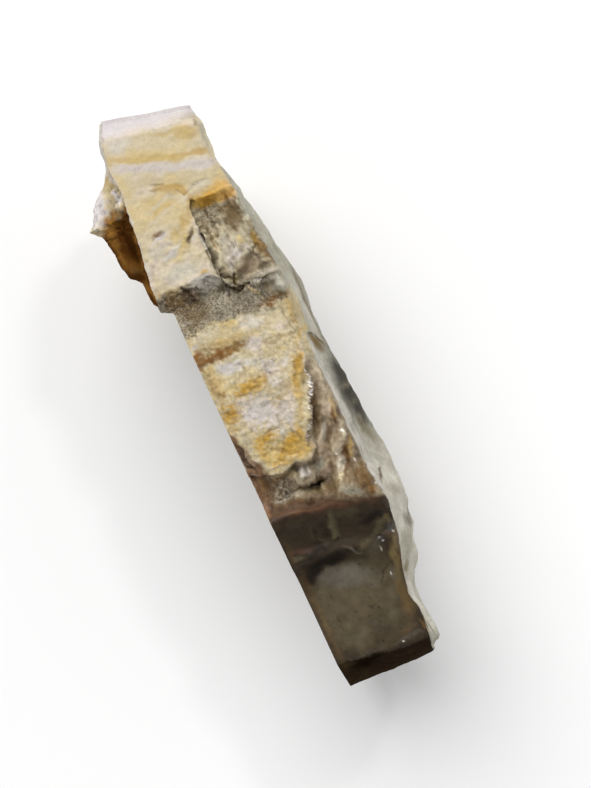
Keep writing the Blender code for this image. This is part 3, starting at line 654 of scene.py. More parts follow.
# The dark flint, its ridges and its margins
FLINT_MARKS = [
    (21.4, 8.0, 10.5, 1.7, 78, "plum", 0.95),
    (21.1, 6.0, 8.0, 0.7, 79, "brick", 0.35),
    (22.9, 8.0, 9.0, 0.6, 77, "cocoa", 0.8),
    (25.8, 8.7, 2.8, 0.9, -18, "smudge", 0.95),
    (25.4, 7.2, 1.8, 0.6, -14, "pitch", 0.45),
    (27.4, 6.4, 1.2, 0.5, 50, "smudge", 0.6),
    (25.3, 5.2, 1.4, 0.2, -14, "smudge", 0.4),
    (28.0, 4.6, 5.6, 1.2, 88, "pitch", 0.8),
    (27.2, 2.2, 2.6, 0.6, 84, "plum", 0.6),
    (28.2, 1.2, 1.4, 0.5, 84, "smudge", 0.7),
    (24.4, 11.8, 2.4, 1.0, 78, "smudge", 0.45),
    (26.8, 15.2, 2.6, 0.8, 96, "pitch", 0.9),
    (26.0, 14.0, 1.4, 0.5, 60, "pitch", 0.5),
    (23.8, 16.4, 1.4, 1.2, 60, "plum", 0.7),
    (28.6, 15.8, 2.8, 0.7, 112, "smudge", 0.9),
    (27.8, 17.6, 0.8, 0.8, 0, "moss", 0.8),
    (38.4, 7.2, 9.2, 10.0, 0, "olive", 0.98),
    (30.8, 13.2, 2.2, 1.6, 60, "olive", 0.7),
    (30.0, 10.8, 0.9, 0.8, 60, "cocoa", 0.5),
    # A painted highlight along the ridge
    (30.2, 10.3, 1.6, 0.2, 45, "haze", 0.8),
    (30.2, 5.6, 4.4, 1.1, 96, "pitch", 0.95),
    (31.6, 2.2, 2.2, 1.3, 100, "pitch", 0.85),
    (30.6, 7.4, 2.2, 0.7, 95, "pitch", 0.4),
    # A pale bluish haze past the second ridge: partly the flint's tone and partly a painted sheen
    (33.6, 7.2, 4.4, 2.2, 78, "haze", 0.85),
    (32.2, 4.4, 1.8, 0.7, 100, "haze", 0.4),
    (35.4, 10.6, 3.0, 2.0, 60, "haze", 0.35),
    (43.4, 8.8, 5.2, 3.0, 96, "cocoa", 0.5),
    (43.8, 5.0, 2.6, 1.8, 90, "olive", 0.7),
    (42.6, 11.4, 2.2, 1.2, 0, "smudge", 0.4),
    (45.6, 2.4, 2.0, 1.4, 90, "cocoa", 0.7),
    (39.7, 3.7, 1.1, 0.9, 0, "cocoa", 0.4),
    (39.8, 3.0, 0.7, 0.25, 0, "cocoa", 0.5),
    (40.3, 8.8, 0.4, 0.25, 60, "cocoa", 0.6),
    (40.6, 14.8, 3.6, 1.0, 0, "ember", 0.7),
    (42.6, 14.2, 2.4, 0.9, -10, "ember", 0.3),
    (34.6, 15.9, 3.4, 0.8, -14, "moss", 0.95),
    (31.6, 17.4, 2.2, 0.6, -16, "moss", 0.95),
    (34.4, 17.0, 5.0, 0.4, -18, "ember", 0.6),
    (30.4, 16.6, 1.8, 0.5, 60, "umber", 0.6),
    (36.6, 14.4, 1.2, 0.8, 0, "haze", 0.4),
    (36.0, 0.3, 15.0, 0.9, 0, "umber", 0.35),
    (36.0, -0.1, 16.0, 0.5, 0, "cocoa", 0.5),
    # Painted highlights along the third ridge
    (46.9, 12.6, 3.0, 0.4, 88, "haze", 0.3),
    (46.7, 4.6, 3.2, 0.25, 86, "haze", 0.35),
    (45.9, 12.8, 2.0, 0.7, 95, "umber", 0.25),
    (49.4, 8.0, 11.0, 1.9, 88, "dregs", 0.97),
    (47.9, 4.6, 3.6, 1.2, 94, "pitch", 0.9),
    (49.6, 11.4, 2.2, 0.6, 88, "cocoa", 0.7),
    (49.8, 3.0, 2.0, 0.6, 88, "cocoa", 0.6),
    (46.6, 15.7, 2.4, 0.3, 14, "umber", 0.8),
    # Painted highlights on the wet flint: the small glint marks and the thin fog stroke below
    (30.4, 17.6, 0.35, 0.18, 20, "painted_glint", 0.95),
    (30.9, 15.6, 0.25, 0.15, 60, "painted_glint", 0.8),
    (30.3, 14.9, 0.2, 0.3, 0, "painted_glint", 0.6),
    (32.2, 14.6, 0.7, 0.14, -10, "fog", 0.7),
    (29.9, 15.2, 0.9, 0.2, 60, "pitch", 0.8),
    (36.6, 14.3, 0.3, 0.2, 0, "painted_glint", 0.6),
    (47.3, 11.3, 0.2, 0.15, 0, "painted_glint", 0.8),
]

# The reddish scar along the sawn edge
SCAR_MARKS = [
    (9.0, 0.9, 2.6, 0.5, 12, "rose", 0.5),
    (11.2, 1.9, 2.2, 0.3, 12, "plum", 0.5),
    (8.6, 0.0, 2.6, 0.4, 6, "plum", 0.95),
    (8.2, 0.1, 2.4, 0.6, 6, "dregs", 0.4),
    (14.6, 1.2, 2.0, 0.6, -4, "brown", 0.5),
    (13.4, 2.3, 1.6, 0.2, 3, "tan", 0.5),
    (19.0, 0.6, 1.6, 0.7, 10, "plum", 0.8),
]

# The back, as far down as it is seen from above
BACK_MARKS = [
    (28.0, 20.0, 12.0, 3.0, 0, "fog", 0.8),
    (-20.0, 19.2, 12.0, 0.8, 6, "rim", 0.7),
    (-10.0, 19.6, 8.0, 0.7, 0, "fog", 0.6),
    (-12.0, 20.3, 7.0, 0.25, -2, "slate", 0.7),
    (-3.2, 18.9, 2.3, 0.9, 18, "drab", 0.95),
    (-3.4, 19.7, 1.7, 0.22, 16, "mud", 0.8),
    (-5.0, 18.5, 0.7, 0.35, 70, "mud", 0.8),
    (-4.0, 18.6, 0.7, 0.3, 30, "brown", 0.6),
    (-2.0, 19.2, 0.7, 0.25, 20, "ash", 0.7),
    (-9.8, 18.6, 4.0, 0.6, -2, "tan", 0.95),
    (-6.2, 18.2, 0.8, 0.6, 0, "straw", 0.9),
    (6.0, 18.4, 8.5, 0.7, 0, "patina", 0.9),
    (-4.0, 20.3, 4.0, 0.3, 2, "dusk", 0.7),
    (5.9, 20.8, 7.2, 2.0, 3, "stripe", 0.92),
    (2.6, 20.3, 1.9, 0.7, 8, "stripe", 0.9),
    (5.2, 20.7, 0.5, 1.7, 12, "ash", 0.7),
    (6.4, 20.5, 0.8, 1.0, 0, "stripe", 0.95),
    (8.3, 20.6, 0.5, 1.5, 8, "dusk", 0.7),
    (9.6, 20.8, 1.0, 0.6, 0, "stripe", 0.8),
    (12.6, 20.3, 2.6, 0.8, 4, "ash", 0.85),
    (11.2, 21.0, 1.8, 0.4, 0, "stripe", 0.7),
    (14.6, 21.0, 1.4, 0.5, 0, "drab", 0.5),
    # A painted highlight along the rim of the back
    (11.0, 18.6, 17.0, 0.34, 1, "bright", 0.8),
    (18.4, 20.3, 1.8, 0.7, 30, "dusk", 0.35),
    (20.8, 19.5, 1.7, 0.2, -16, "umber", 0.9),
    (24.0, 20.4, 2.0, 0.9, 40, "ash", 0.4),
    (29.6, 20.3, 1.6, 0.6, 10, "dusk", 0.5),
    (29.0, 21.2, 3.0, 0.4, -20, "slate", 0.6),
    (33.2, 18.6, 3.0, 1.1, -24, "rim", 0.9),
    (36.6, 17.0, 1.4, 0.4, -30, "drab", 0.7),
    (40.6, 16.2, 3.0, 0.6, -4, "bright", 0.85),
    (44.0, 16.6, 6.0, 0.6, 4, "fog", 0.7),
    (45.8, 15.9, 2.4, 0.16, 4, "moss", 0.8),
    (47.4, 16.5, 1.8, 0.12, 8, "dusk", 0.8),
]

# The broken lip and its amber flank
STUB_MARKS = [
    (-39.8, -1.6, 3.4, 1.2, -22, "tan", 0.95),
    (-41.6, -1.0, 1.8, 0.5, -24, "sand", 0.6),
    (-39.6, -0.7, 3.2, 0.4, -8, "white", 0.95),
    (-38.0, -4.4, 3.0, 1.5, -34, "white", 0.9),
    (-32.0, -2.6, 5.4, 1.8, -2, "resin", 0.8),
    (-31.4, -1.9, 5.4, 0.9, -4, "peat", 0.8),
    (-36.0, -2.4, 1.2, 0.8, -60, "honey", 0.6),
    (-34.0, -4.2, 3.0, 1.0, -8, "honey", 0.95),
    (-30.4, -4.4, 3.0, 0.5, 0, "honey", 0.7),
    (-26.2, -3.1, 1.0, 0.4, 80, "umber", 0.6),
]


def ramp(value, start, end):
    """Rise smoothly from 0 at start to 1 at end."""
    part = np.clip((value - start) / (end - start), 0.0, 1.0)
    return part * part * (3.0 - 2.0 * part)


def between(value, start, full, fade, end):
    """Rise smoothly from start to full, and fall again from fade to end."""
    return ramp(value, start, full) * (1.0 - ramp(value, fade, end))


def ridge(offset, width):
    """A soft ridge of height 1 along a line, at each distance from it."""
    return np.exp(-(offset / width) ** 2)


def along(points, value):
    """Read a polyline of (position, value) pairs at each position."""
    places, values = zip(*points)
    return np.interp(value, places, values)


def across(points, value):
    """Read a line across the stone, given as (y, x) pairs, at each y."""
    return along(points, value)


def bump(x, y, middle, radius):
    """A round hill of height 1 at the middle that ends at the radius."""
    reach = ((x - middle[0]) / radius[0]) ** 2 + ((y - middle[1]) / radius[1]) ** 2
    return np.clip(1.0 - reach, 0.0, 1.0) ** 2


def levels(depth, depths, values):
    """Blend values that are given at a few depths, for each point."""
    result = values[0] + 0.0 * depth
    for upper, lower, start, end in zip(depths, depths[1:], values, values[1:]):
        part = np.clip((depth - upper) / (lower - upper), 0.0, 1.0)
        result = result + (end - start) * part
    return result


def behind(offset, depth):
    """Widen an offset from the line of sight for something deeper down."""
    return offset * (1.0 + depth / SIGHT)


def saw_stop(depth):
    """The x at which the round saw cut stops, at each depth."""
    bow = np.sqrt(SAW_RADIUS ** 2 - (depth - SAW_MIDDLE) ** 2)
    return SAW_STOP_X - (bow - np.sqrt(SAW_RADIUS ** 2 - SAW_MIDDLE ** 2))


def wavy(x, y):
    """Shift places a little this way and that, so that ridges don't run straight."""
    places = np.column_stack((x, y, x * 0.0))
    shift_x = WAVY_AMOUNT * noise_at(places, WAVY_SIZE, 2)
    return x + shift_x, y + WAVY_AMOUNT * noise_at(places + (0.0, 0.0, 30.0), WAVY_SIZE, 2)


def rind_depth(x, y):
    """Depth of the pale rind: the hollow, the granular ledge and the nook."""
    x, y = wavy(x, y)
    hollow = between(x, *HOLLOW_START, *HOLLOW_END) * ramp(y, *HOLLOW_SIDE)
    hollow = hollow * (1.0 - 0.75 * ramp(y, *HOLLOW_BACK))
    floor = HOLLOW_FLOOR - HOLLOW_LIFT * ramp(x, -29.0, -20.0)
    facet = ramp((x - FACET_POINT[0]) * 0.76 + (y - FACET_POINT[1]) * 0.65, 0.0, 1.4)
    step = ramp(x - across(RIND_STEP, y), 0.0, STEP_LENGTH)
    ledge = step * (1.0 - ramp(x, *LEDGE_RISE)) * (1.0 - ramp(y, *LEDGE_SIDE))
    nook = bump(x, y, NOOK, (3.6, 2.4))
    depth = along(TOP_FALL, x) + hollow * (floor + FACET_DROP * facet)
    return depth + LEDGE_DROP * ledge + NOOK_DROP * nook


def slope_depth(x, y):
    """Depth below the wet edge of the block and past its broken end."""
    past_edge = ramp(y - along(BLOCK_EDGE, x), 0.0, 1.2) * ramp(x, -3.0, 1.0)
    past_end = ramp(x - across(BLOCK_END, y), 0.0, 1.0)
    slope = np.maximum(past_edge, past_end) * (1.0 - ramp(x, *SLOPE_END))
    rise = SLOPE_RISE * ramp(y, 13.5, 17.5)
    knobs = bump(x, y, BIG_KNOB, (2.4, 3.2)) + 0.7 * bump(x, y, SMALL_KNOB, (2.2, 2.0))
    gap = bump(x, y, GAP, (1.3, 3.2))
    return slope * (SLOPE_DROP - rise) - KNOB_HEIGHT * knobs + GAP_DROP * gap


def flint_depth(x, y):
    """Depth of the dark flint past each of its three broken ridges."""
    first = x - across(FIRST_RIDGE, y)
    second = x - across(SECOND_RIDGE, y)
    third = x - across(THIRD_RIDGE, y)
    near_face = 1.0 - 0.55 * ramp(y, 9.0, 13.0)
    sharp = 0.77 * ramp(second, 0.0, 2.6) + 0.23 * ramp(second, 1.5, 6.0)
    gentle = ramp(second, 0.0, 9.0)
    burr = 0.5 * bump(second, y, (0.0, 6.0), (1.8, 7.0))
    fall = FIRST_DROP * ramp(first, -0.3, 7.5) + THIRD_SLOPE * np.clip(third, 0.0, None)
    return fall - burr + SECOND_DROP * (near_face * sharp + (1.0 - near_face) * gentle)


def chalk_reach(x, y):
    """How far inside the slanted chalky end each place lies."""
    return (x + END_X) * CHALK_LEAN[0] - (y - LEFT_EDGE[0][1]) * CHALK_LEAN[1]


def edge_depth(x, y):
    """Depth lost at the rounded chalky end, the sawn scar and the back rim."""
    chalk = CHALK_DROP * (1.0 - np.clip(chalk_reach(x, y) / CHALK_ROUND, 0.0, 1.0)) ** 1.6
    scar = np.clip((along(SAWN_SCAR, x) - y) / 1.6, 0.0, 1.5)
    near_rim = np.clip(y - along(RIGHT_EDGE, x) + RIM_ROUND, 0.0, RIM_ROUND)
    return chalk + scar + RIM_DROP * near_rim ** 2


def top_depth(x, y):
    """Depth of the whole broken top below the highest rind."""
    return rind_depth(x, y) + slope_depth(x, y) + flint_depth(x, y) + edge_depth(x, y)


def stretched(x):
    """Length along the stone, longer where the top lies further from the eye."""
    return AXIS_X + behind(x - AXIS_X, along(FLINT_FALL, x))


def scars(x, depth, marks):
    """How much a set of round scars takes off, each with a crisp rim."""
    cut = x * 0.0
    for middle, down, radius, most in marks:
        reach = ((x - middle) ** 2 + (depth - down) ** 2) / radius ** 2
        cut = np.maximum(cut, most * np.clip(1.0 - reach, 0.0, 1.0))
    return cut


def back_y(x, depth):
    """The natural back at each x and depth."""
    seen = AXIS_X + (x - AXIS_X) / (1.0 + BACK_DEPTHS[2] / SIGHT)
    edge = along(RIGHT_EDGE, x)
    ridge = AXIS_Y + behind(along(BACK_RIDGE, x) - AXIS_Y, BACK_DEPTHS[1])
    swell = AXIS_Y + behind(along(BACK_SWELL, seen) - AXIS_Y, BACK_DEPTHS[2])
    foot = BACK_FOOT_Y + 0.0 * x
    values = (edge, ridge, swell, swell - 1.0, foot + 2.6, foot)
    return levels(depth, BACK_DEPTHS, values) - scars(x, depth, BACK_SCARS)


def face_y(x, depth):
    """The sawn face, and beside it the broken lip and stub that the saw left."""
    seen = AXIS_X + (x - AXIS_X) / (1.0 + LIP_DEPTHS[3] / SIGHT)
    edge = along(LEFT_EDGE, x)
    crest = AXIS_Y + behind(along(LIP_CREST, seen) - AXIS_Y, LIP_DEPTHS[3])
    swell = along(STUB_SWELL, x)
    foot = along(STUB_FOOT, x)
    values = (edge, edge + 0.2, edge * 0.7 + crest * 0.3, crest, swell, swell * 0.3 + foot * 0.7, foot)
    stub = levels(depth, LIP_DEPTHS, values) + scars(x, depth, FACE_SCARS)
    return SAWN_Y + (stub - SAWN_Y) * ramp(saw_stop(depth) - x, 0.0, SAW_STEP)


def underside(x, y):
    """Height of the underside: a flat spot, with the stone rising around it."""
    away = ((x - SPOT_X) / SPOT_HALF_X) ** 2 + ((y - SPOT_Y) / SPOT_HALF_Y) ** 2
    return UNDERSIDE_RISE * np.clip(away - 1.0, 0.0, None) ** 0.8


def stone_points(block):
    """Bend points of a unit block, in x, y and z, to the form of the stone."""
    part_x, part_y, part_z = block.T
    depth = (1.0 - part_z) * HEIGHT
    chalk_end = levels(depth, CHALK_END_DEPTHS, CHALK_END_TAPER) + CHALK_END_SLANT * part_y - END_X
    flint_end = levels(depth, FLINT_END_DEPTHS, FLINT_END_TAPER) + END_X
    flint_end = flint_end - scars(part_y * THICKNESS, depth, END_SCARS)
    x = chalk_end + (flint_end - chalk_end) * part_x
    face = face_y(x, depth)
    y = face + (back_y(x, depth) - face) * part_y
    near_side = np.where(x > SAW_STOP_X, SAWN_Y, along(LEFT_EDGE, x))
    top = HEIGHT - top_depth(x, np.clip(y, near_side, along(RIGHT_EDGE, x)))
    bottom = underside(x, y)
    return np.column_stack((stretched(x), y, bottom + (top - bottom) * part_z))


def roughened(points, normals, block):
    """Add soft lumps to every broken or natural face, but not to the flat ones."""
    depth = (1.0 - block[:, 2]) * HEIGHT
    beside_saw = points[:, 0] > saw_stop(depth)
    sawn = (block[:, 1] < 0.001) & beside_saw
    top = block[:, 2] > 0.999
    swell = np.array([noise.noise(Vector(p) / SWELL_SIZE) for p in points])
    lump = np.array([noise.noise(Vector(p) / LUMP_SIZE) for p in points])
    on_top = TOP_LUMPS[0] * swell + TOP_LUMPS[1] * lump
    on_sides = SIDE_LUMPS[0] * swell + SIDE_LUMPS[1] * lump
    on_sides = on_sides * ramp(depth, 0.0, SIDE_LUMPS_START)
    push = np.where(top, on_top, on_sides) * np.where(sawn, 0.0, ramp(points[:, 2], 0.0, 4.0))
    moved = points + normals * push[:, None]
    moved[:, 1] = np.where(beside_saw, np.maximum(moved[:, 1], SAWN_Y), moved[:, 1])
    moved[:, 2] = np.maximum(moved[:, 2], 0.0)
    return moved


def linear(name):
    """A named colour in the linear values that a shader takes."""
    part = np.array(PALETTE[name]) / 255.0
    return np.where(part <= 0.04045, part / 12.92, ((part + 0.055) / 1.055) ** 2.4)


def noise_at(points, size, octaves=1):
    """Smooth noise of a few octaves at each point, for lumps of one size."""
    places = (points / size).tolist()
    if octaves == 1:
        return np.array([noise.noise(place) for place in places])
    return np.array([noise.fractal(place, 1.0, 2.0, octaves) for place in places])


def drawn_out(x, y, size_x, size_y, height=0.0, octaves=3):
    """Noise whose lumps have one size along x and another along y."""
    places = np.column_stack((x / size_x, y / size_y, x * 0.0 + height))
    return noise_at(places, 1.0, octaves)


def ragged(points, height=0.0):
    """How far the edges between zones wander at each point."""
    places = points + (0.0, 0.0, height)
    return sum(reach * noise_at(places, size) for size, reach in RAGGED_LUMPS)


def grains_at(points, size):
    """Rounded grains: 1 in the middle of each and about 0 between them."""
    places = (points / size).tolist()
    return np.array([1.0 - noise.voronoi(place)[0][0] for place in places])


def line_reach(x, y, line):
    """Distance from each point to the nearest place on a line."""
    nearest = x * 0.0 + 1000.0
    for (ax, ay), (bx, by) in zip(line, line[1:]):
        size = (bx - ax) ** 2 + (by - ay) ** 2
        part = np.clip(((x - ax) * (bx - ax) + (y - ay) * (by - ay)) / size, 0.0, 1.0)
        nearest = np.minimum(nearest, np.hypot(x - ax - part * (bx - ax), y - ay - part * (by - ay)))
    return nearest


def side_grid(axis, end, first, second, turn):
    """Points and quads of one side of a unit block."""
    grid = np.meshgrid(first, second, indexing="ij")
    others = [other for other in range(3) if other != axis]
    points = np.full((grid[0].size, 3), float(end))
    points[:, others[0]] = grid[0].ravel()
    points[:, others[1]] = grid[1].ravel()
    ids = np.arange(grid[0].size).reshape(grid[0].shape)
    quads = np.stack((ids[:-1, :-1], ids[1:, :-1], ids[1:, 1:], ids[:-1, 1:]), axis=-1).reshape(-1, 4)
    return points, quads[:, ::-1] if turn else quads


def block_layers():
    """Cuts of the block along its height: even near the top, wider below."""
    near = np.arange(0.0, TOP_LAYER, CELL)
    deep = np.arange(TOP_LAYER, HEIGHT, DEEP_CELL)
    return 1.0 - np.concatenate((near, deep, [HEIGHT]))[::-1] / HEIGHT


def fine_block():
    """The unit block as a mesh, with its top cut twice as fine as its sides."""
    cuts_x = np.linspace(0.0, 1.0, round(2.0 * END_X / CELL) + 1)
    cuts_y = np.linspace(0.0, 1.0, round(THICKNESS / CELL) + 1)
    cuts_z = block_layers()
    sides = [(0, 0, cuts_y, cuts_z, True), (0, 1, cuts_y, cuts_z, False),
             (1, 0, cuts_x, cuts_z, False), (1, 1, cuts_x, cuts_z, True),
             (2, 0, cuts_x, cuts_y, True), (2, 1, cuts_x, cuts_y, False)]
    points, quads, count = [], [], 0
    for side in sides:
        more, faces = side_grid(*side)
        points.append(more)
        quads.append(faces + count)
        count += len(more)
    places, index = np.unique(np.round(np.vstack(points), 7), axis=0, return_inverse=True)
    mesh = bpy.data.meshes.new("block")
    mesh.from_pydata(places.tolist(), [], index.ravel()[np.vstack(quads)].tolist())
    bm = bmesh.new()
    bm.from_mesh(mesh)
    bpy.data.meshes.remove(mesh)
    top = [face for face in bm.faces if face.normal.z > 0.9]
    edges = {edge for face in top for edge in face.edges}
    bmesh.ops.subdivide_edges(bm, edges=list(edges), cuts=1, use_grid_fill=True)
    return bm


def set_points(bm, points):
    """Put each vertex at its point and work out the normals."""
    for vert, point in zip(bm.verts, points):
        vert.co = point
    bm.normal_update()
    return np.array([vert.normal for vert in bm.verts])


class Stone:
    """The points of the stone, with what is known of each of them."""

    def __init__(self, block):
        self.top = block[:, 2] > 1.0 - NEAR
        self.ends = (block[:, 0] < NEAR) | (block[:, 0] > 1.0 - NEAR)
        self.face = (block[:, 1] < NEAR) & ~self.top
        self.back = (block[:, 1] > 1.0 - NEAR) & ~self.top
        self.depth = (1.0 - block[:, 2]) * HEIGHT
        self.points = stone_points(block)
        self.x = unstretched(self.points[:, 0])
        near_side = np.where(self.x > SAW_STOP_X, SAWN_Y, along(LEFT_EDGE, self.x))
        self.y = np.clip(self.points[:, 1], near_side, along(RIGHT_EDGE, self.x))


class Top:
    """Where each rough point lies on the top, with ragged edges, and in which of its zones."""

    def __init__(self, stone, points):
        self.points = points
        self.x = stone.x + ragged(points)
        self.y = stone.y + ragged(points, 40.0)
        self.past_step = ramp(self.x - across(RIND_STEP, self.y), -0.3, 0.4)
        self.flint = ramp(self.x - across(FIRST_RIDGE, self.y), -0.8, 0.5)
        self.slope = slope_share(self.x, self.y) * (1.0 - self.flint)
        self.hollow = between(self.x, *HOLLOW_START, *HOLLOW_END) * ramp(self.y, *HOLLOW_EDGE)
        self.ledge = ledge_share(self.x, self.y) * (1.0 - self.hollow)
        self.scar = scar_share(self.x, self.y)
        self.calm = np.clip(spots(self.x, self.y, CALM_SPOTS), 0.0, 1.0)
        self.streak = streaked(stone.x, stone.y, points)
        self.grain = grain_share(self)


def seen(points):
    """The place at which each point is seen from above the stone."""
    near = SIGHT / (SIGHT + HEIGHT - points[:, 2])
    return AXIS_X + (points[:, 0] - AXIS_X) * near, AXIS_Y + (points[:, 1] - AXIS_Y) * near


def unstretched(x):
    """The x from above of a point at its true place along the stone."""
    places = np.linspace(-60.0, 60.0, 481)
    return np.interp(x, stretched(places), places)


def slope_share(x, y):
    """How far each place on the top lies past the block's wet edge or broken end."""
    past_edge = ramp(y - along(BLOCK_EDGE, x), -0.1, 0.5) * ramp(x, *EDGE_START)
    past_end = ramp(x - across(BLOCK_END, y), -0.1, 0.5)
    return np.maximum(past_edge, past_end)


def ledge_share(x, y):
    """How far each place on the top is the granular ledge."""
    step = ramp(x - across(RIND_STEP, y) - 1.4 * ramp(y, *LEDGE_BEND), -0.4, 0.8)
    return step * (1.0 - ramp(x, *LEDGE_END)) * (1.0 - ramp(y, *LEDGE_BACK))


def grain_share(top):
    """How far each place on the top is salt-and-pepper grains."""
    patch = 0.35 * ramp(noise_at(top.points, 2.6), 0.05, 0.4) * (1.0 - top.flint) * ramp(top.x, -24.0, -12.0)
    grainy = top.ledge + top.hollow * bump(top.x, top.y, *GRAINY_SPOT) + patch
    grainy = grainy + 1.6 * top.slope * bump(top.x, top.y, SMALL_KNOB, (3.4, 3.4))
    return np.clip(grainy, 0.0, 1.0)


def spots(x, y, places):
    """Round hills at a few places, given as middle and half size."""
    return sum(bump(x, y, middle, radius) for middle, radius in places)


def crumbling(x, y):
    """How far the rind crumbles between the cracked lip of the hollow and the ledge."""
    lip = ridge(y - CRUMBLING_LIP, 1.0) * ramp(x, -31.0, -28.5)
    return np.clip(lip + 0.5 * ramp(x, -31.5, -27.5) + 0.3 * ramp(x, -40.0, -36.0), 0.0, 1.0)


def rind_relief(top):
    """Crumbs, fibres and pits of the pale rind, rougher where it crumbles."""
    x, y, points = top.x, top.y, top.points
    rough = 0.35 + 0.65 * np.maximum(ramp(x - across(RIND_STEP, y), -0.5, 0.5), crumbling(x, y))
    crumbs = noise_at(points, 1.7, 4) + drawn_out(x, y, 0.8, 2.2, points[:, 2] * 0.3)
    pits = ramp(noise_at(points, 0.8), 0.25, 0.5)
    return (1.0 - top.flint) * (1.0 - top.slope) * rough * (0.16 * crumbs - 0.12 * pits)


def hollow_relief(top):
    """Wrinkles and lumps of the hollow, with two smooth spots."""
    x, y = top.x, top.y
    smooth = spots(x, y, SMOOTH_SPOTS)
    lumps = 0.5 * drawn_out(x, y, 2.4, 0.6) + 0.3 * noise_at(top.points, 0.9, 2)
    return top.hollow * np.clip(1.0 - 1.6 * smooth, 0.0, 1.0) * lumps


def flint_relief(top):
    """Fine ribs past the first ridge, and faint ripples of the dark flint."""
    first = top.x - across(FIRST_RIDGE, top.y)
    ribs = 0.14 * (1.0 - ramp(first, 3.0, 8.0)) * drawn_out(first, top.y, 0.45, 7.0, octaves=1)
    return top.flint * (ribs + 0.10 * noise_at(top.points, 3.0, 3))


def top_relief(top):
    """Height of the fine features of the top, outward from its form."""
    points = top.points
    relief = rind_relief(top) + hollow_relief(top) + flint_relief(top)
    relief = relief + top.grain * (0.42 * grains_at(points, 0.8) - 0.25 + 0.3 * noise_at(points, 1.6))
    relief = relief + top.slope * (0.6 * top.streak + 0.25 * noise_at(points, 1.1, 3))
    crumb = ridge(top.y - along(BLOCK_EDGE, top.x), 0.7) * between(top.x, *EDGE_CRUMBS)
    relief = relief + crumb * (0.7 * grains_at(points, 1.1) - 0.3)
    for line, width, drop in CRACKS:
        relief = relief - drop * ridge(line_reach(top.x, top.y, line), width)
    return relief


def side_relief(stone, points):
    """Height of the fine features of the back, the ends and the underside."""
    rough = 0.22 * noise_at(points, 3.2, 4) + 0.1 * noise_at(points, 1.1, 2)
    for scar_x, scar_depth, radius, _ in BACK_SCARS:
        struck = np.hypot(stone.x - scar_x, stone.depth - scar_depth + radius)
        inside = radius - np.hypot(stone.x - scar_x, stone.depth - scar_depth)
        rough = rough + 0.10 * stone.back * ramp(inside, 0.0, 2.0) * np.sin(struck * 2.2)
    torn = stone.face * between(stone.x, *TORN_SPAN) * (1.0 - ramp(stone.depth, 7.0, 14.0))
    flakes = 0.8 * noise_at(points * (1.5, 1.5, 0.3), 1.0, 3) + 0.25 * noise_at(points, 1.2, 2)
    return (rough + torn * flakes) * ramp(points[:, 2], 0.0, 3.0)


def fine_relief(stone, top):
    """Height of the fine features of every side; the sawn face has none."""
    sawn = stone.face & (top.points[:, 0] > saw_stop(stone.depth) - 0.5)
    relief = np.where(stone.top, top_relief(top), side_relief(stone, top.points))
    return np.where(sawn, 0.0, relief)


def detailed(stone, points, normals, relief):
    """Move each point out or in by its fine relief."""
    moved = points + normals * relief[:, None]
    beside = points[:, 0] > saw_stop(stone.depth)
    moved[:, 1] = np.where(beside, np.maximum(moved[:, 1], SAWN_Y), moved[:, 1])
    moved[:, 2] = np.maximum(moved[:, 2], 0.0)
    return moved


def plain(name, points):
    """One named colour for every point."""
    return np.tile(linear(name), (len(points), 1))


def blend(first, second, share):
    """Mix colours with other colours, or with a named one, by a share from 0 to 1."""
    second = linear(second) if isinstance(second, str) else second
    return first + (second - first) * share[:, None]


def brighter(colours, share):
    """Make colours brighter by a share of themselves, or darker if it is below 0."""
    return colours * (1.0 + share)[:, None]


def painted(colours, x, y, marks, share, grit=0.0):
    """Cover a share of places with gritty stains and bands."""
    for middle_x, middle_y, length, width, angle, name, strength in marks:
        turn = math.radians(angle)
        run = ((x - middle_x) * math.cos(turn) + (y - middle_y) * math.sin(turn)) / length
        side = ((y - middle_y) * math.cos(turn) - (x - middle_x) * math.sin(turn)) / width
        cover = 1.0 - ramp(np.hypot(run, side) + grit, *STAIN_EDGE)
        colours = blend(colours, name, strength * share * cover)
    return colours


def streaked(x, y, points):
    """Noise drawn out along the wet folds of the slope."""
    run = x * FOLD_RUN[0] - y * FOLD_RUN[1]
    rise = x * FOLD_RUN[1] + y * FOLD_RUN[0] + 0.5 * FOLD_SIZE[1] * noise_at(points, 3.0)
    return drawn_out(run, rise, *FOLD_SIZE, points[:, 2] * 0.1)


def scar_share(x, y):
    """How far each place is the chipped edge between the top and the sawn face."""
    return ramp(along(SAWN_SCAR, x) - y, -0.4, 0.2) * between(x, *SCAR_SPAN)


def crumbled(colours, points, share):
    """Break up the pale rind with white crumbs and sandy stains."""
    streaks = noise_at(points * (1.3, 0.45, 1.0), 1.0, 4)
    colours = blend(colours, "bright", 0.30 * share * ramp(streaks, 0.05, 0.5))
    return blend(colours, "bark", 0.22 * share * ramp(-streaks, 0.1, 0.55))


def rind_colours(top, grit):
    """Soft clouds, stains and bands of the chalky rind, with its white end."""
    soft = noise_at(top.points, 4.5, 3)
    colours = blend(plain("cream", top.points), "straw", 0.45 * ramp(soft, 0.02, 0.45))
    colours = blend(colours, "pink", 0.6 * ramp(-soft, 0.02, 0.45))
    colours = painted(colours, top.x, top.y, RIND_MARKS, np.ones(len(grit)), 0.15 * grit)
    strip = 2.9 - 0.11 * top.y
    return blend(colours, "white", 1.0 - ramp(chalk_reach(top.x, top.y) - strip, -1.4, 1.0))


def sunk_share(top):
    """How far each place lies in the hollow or on the rim behind it."""
    x, y = top.x, top.y
    rim = ramp(y, *HOLLOW_RIM) * ramp(x, -32.0, -30.0)
    sunk = np.maximum(top.hollow * ramp(x - 0.1 * (y - 10.0), -31.9, -31.4), rim)
    return sunk * (1.0 - ramp(x, -18.0, -17.2))


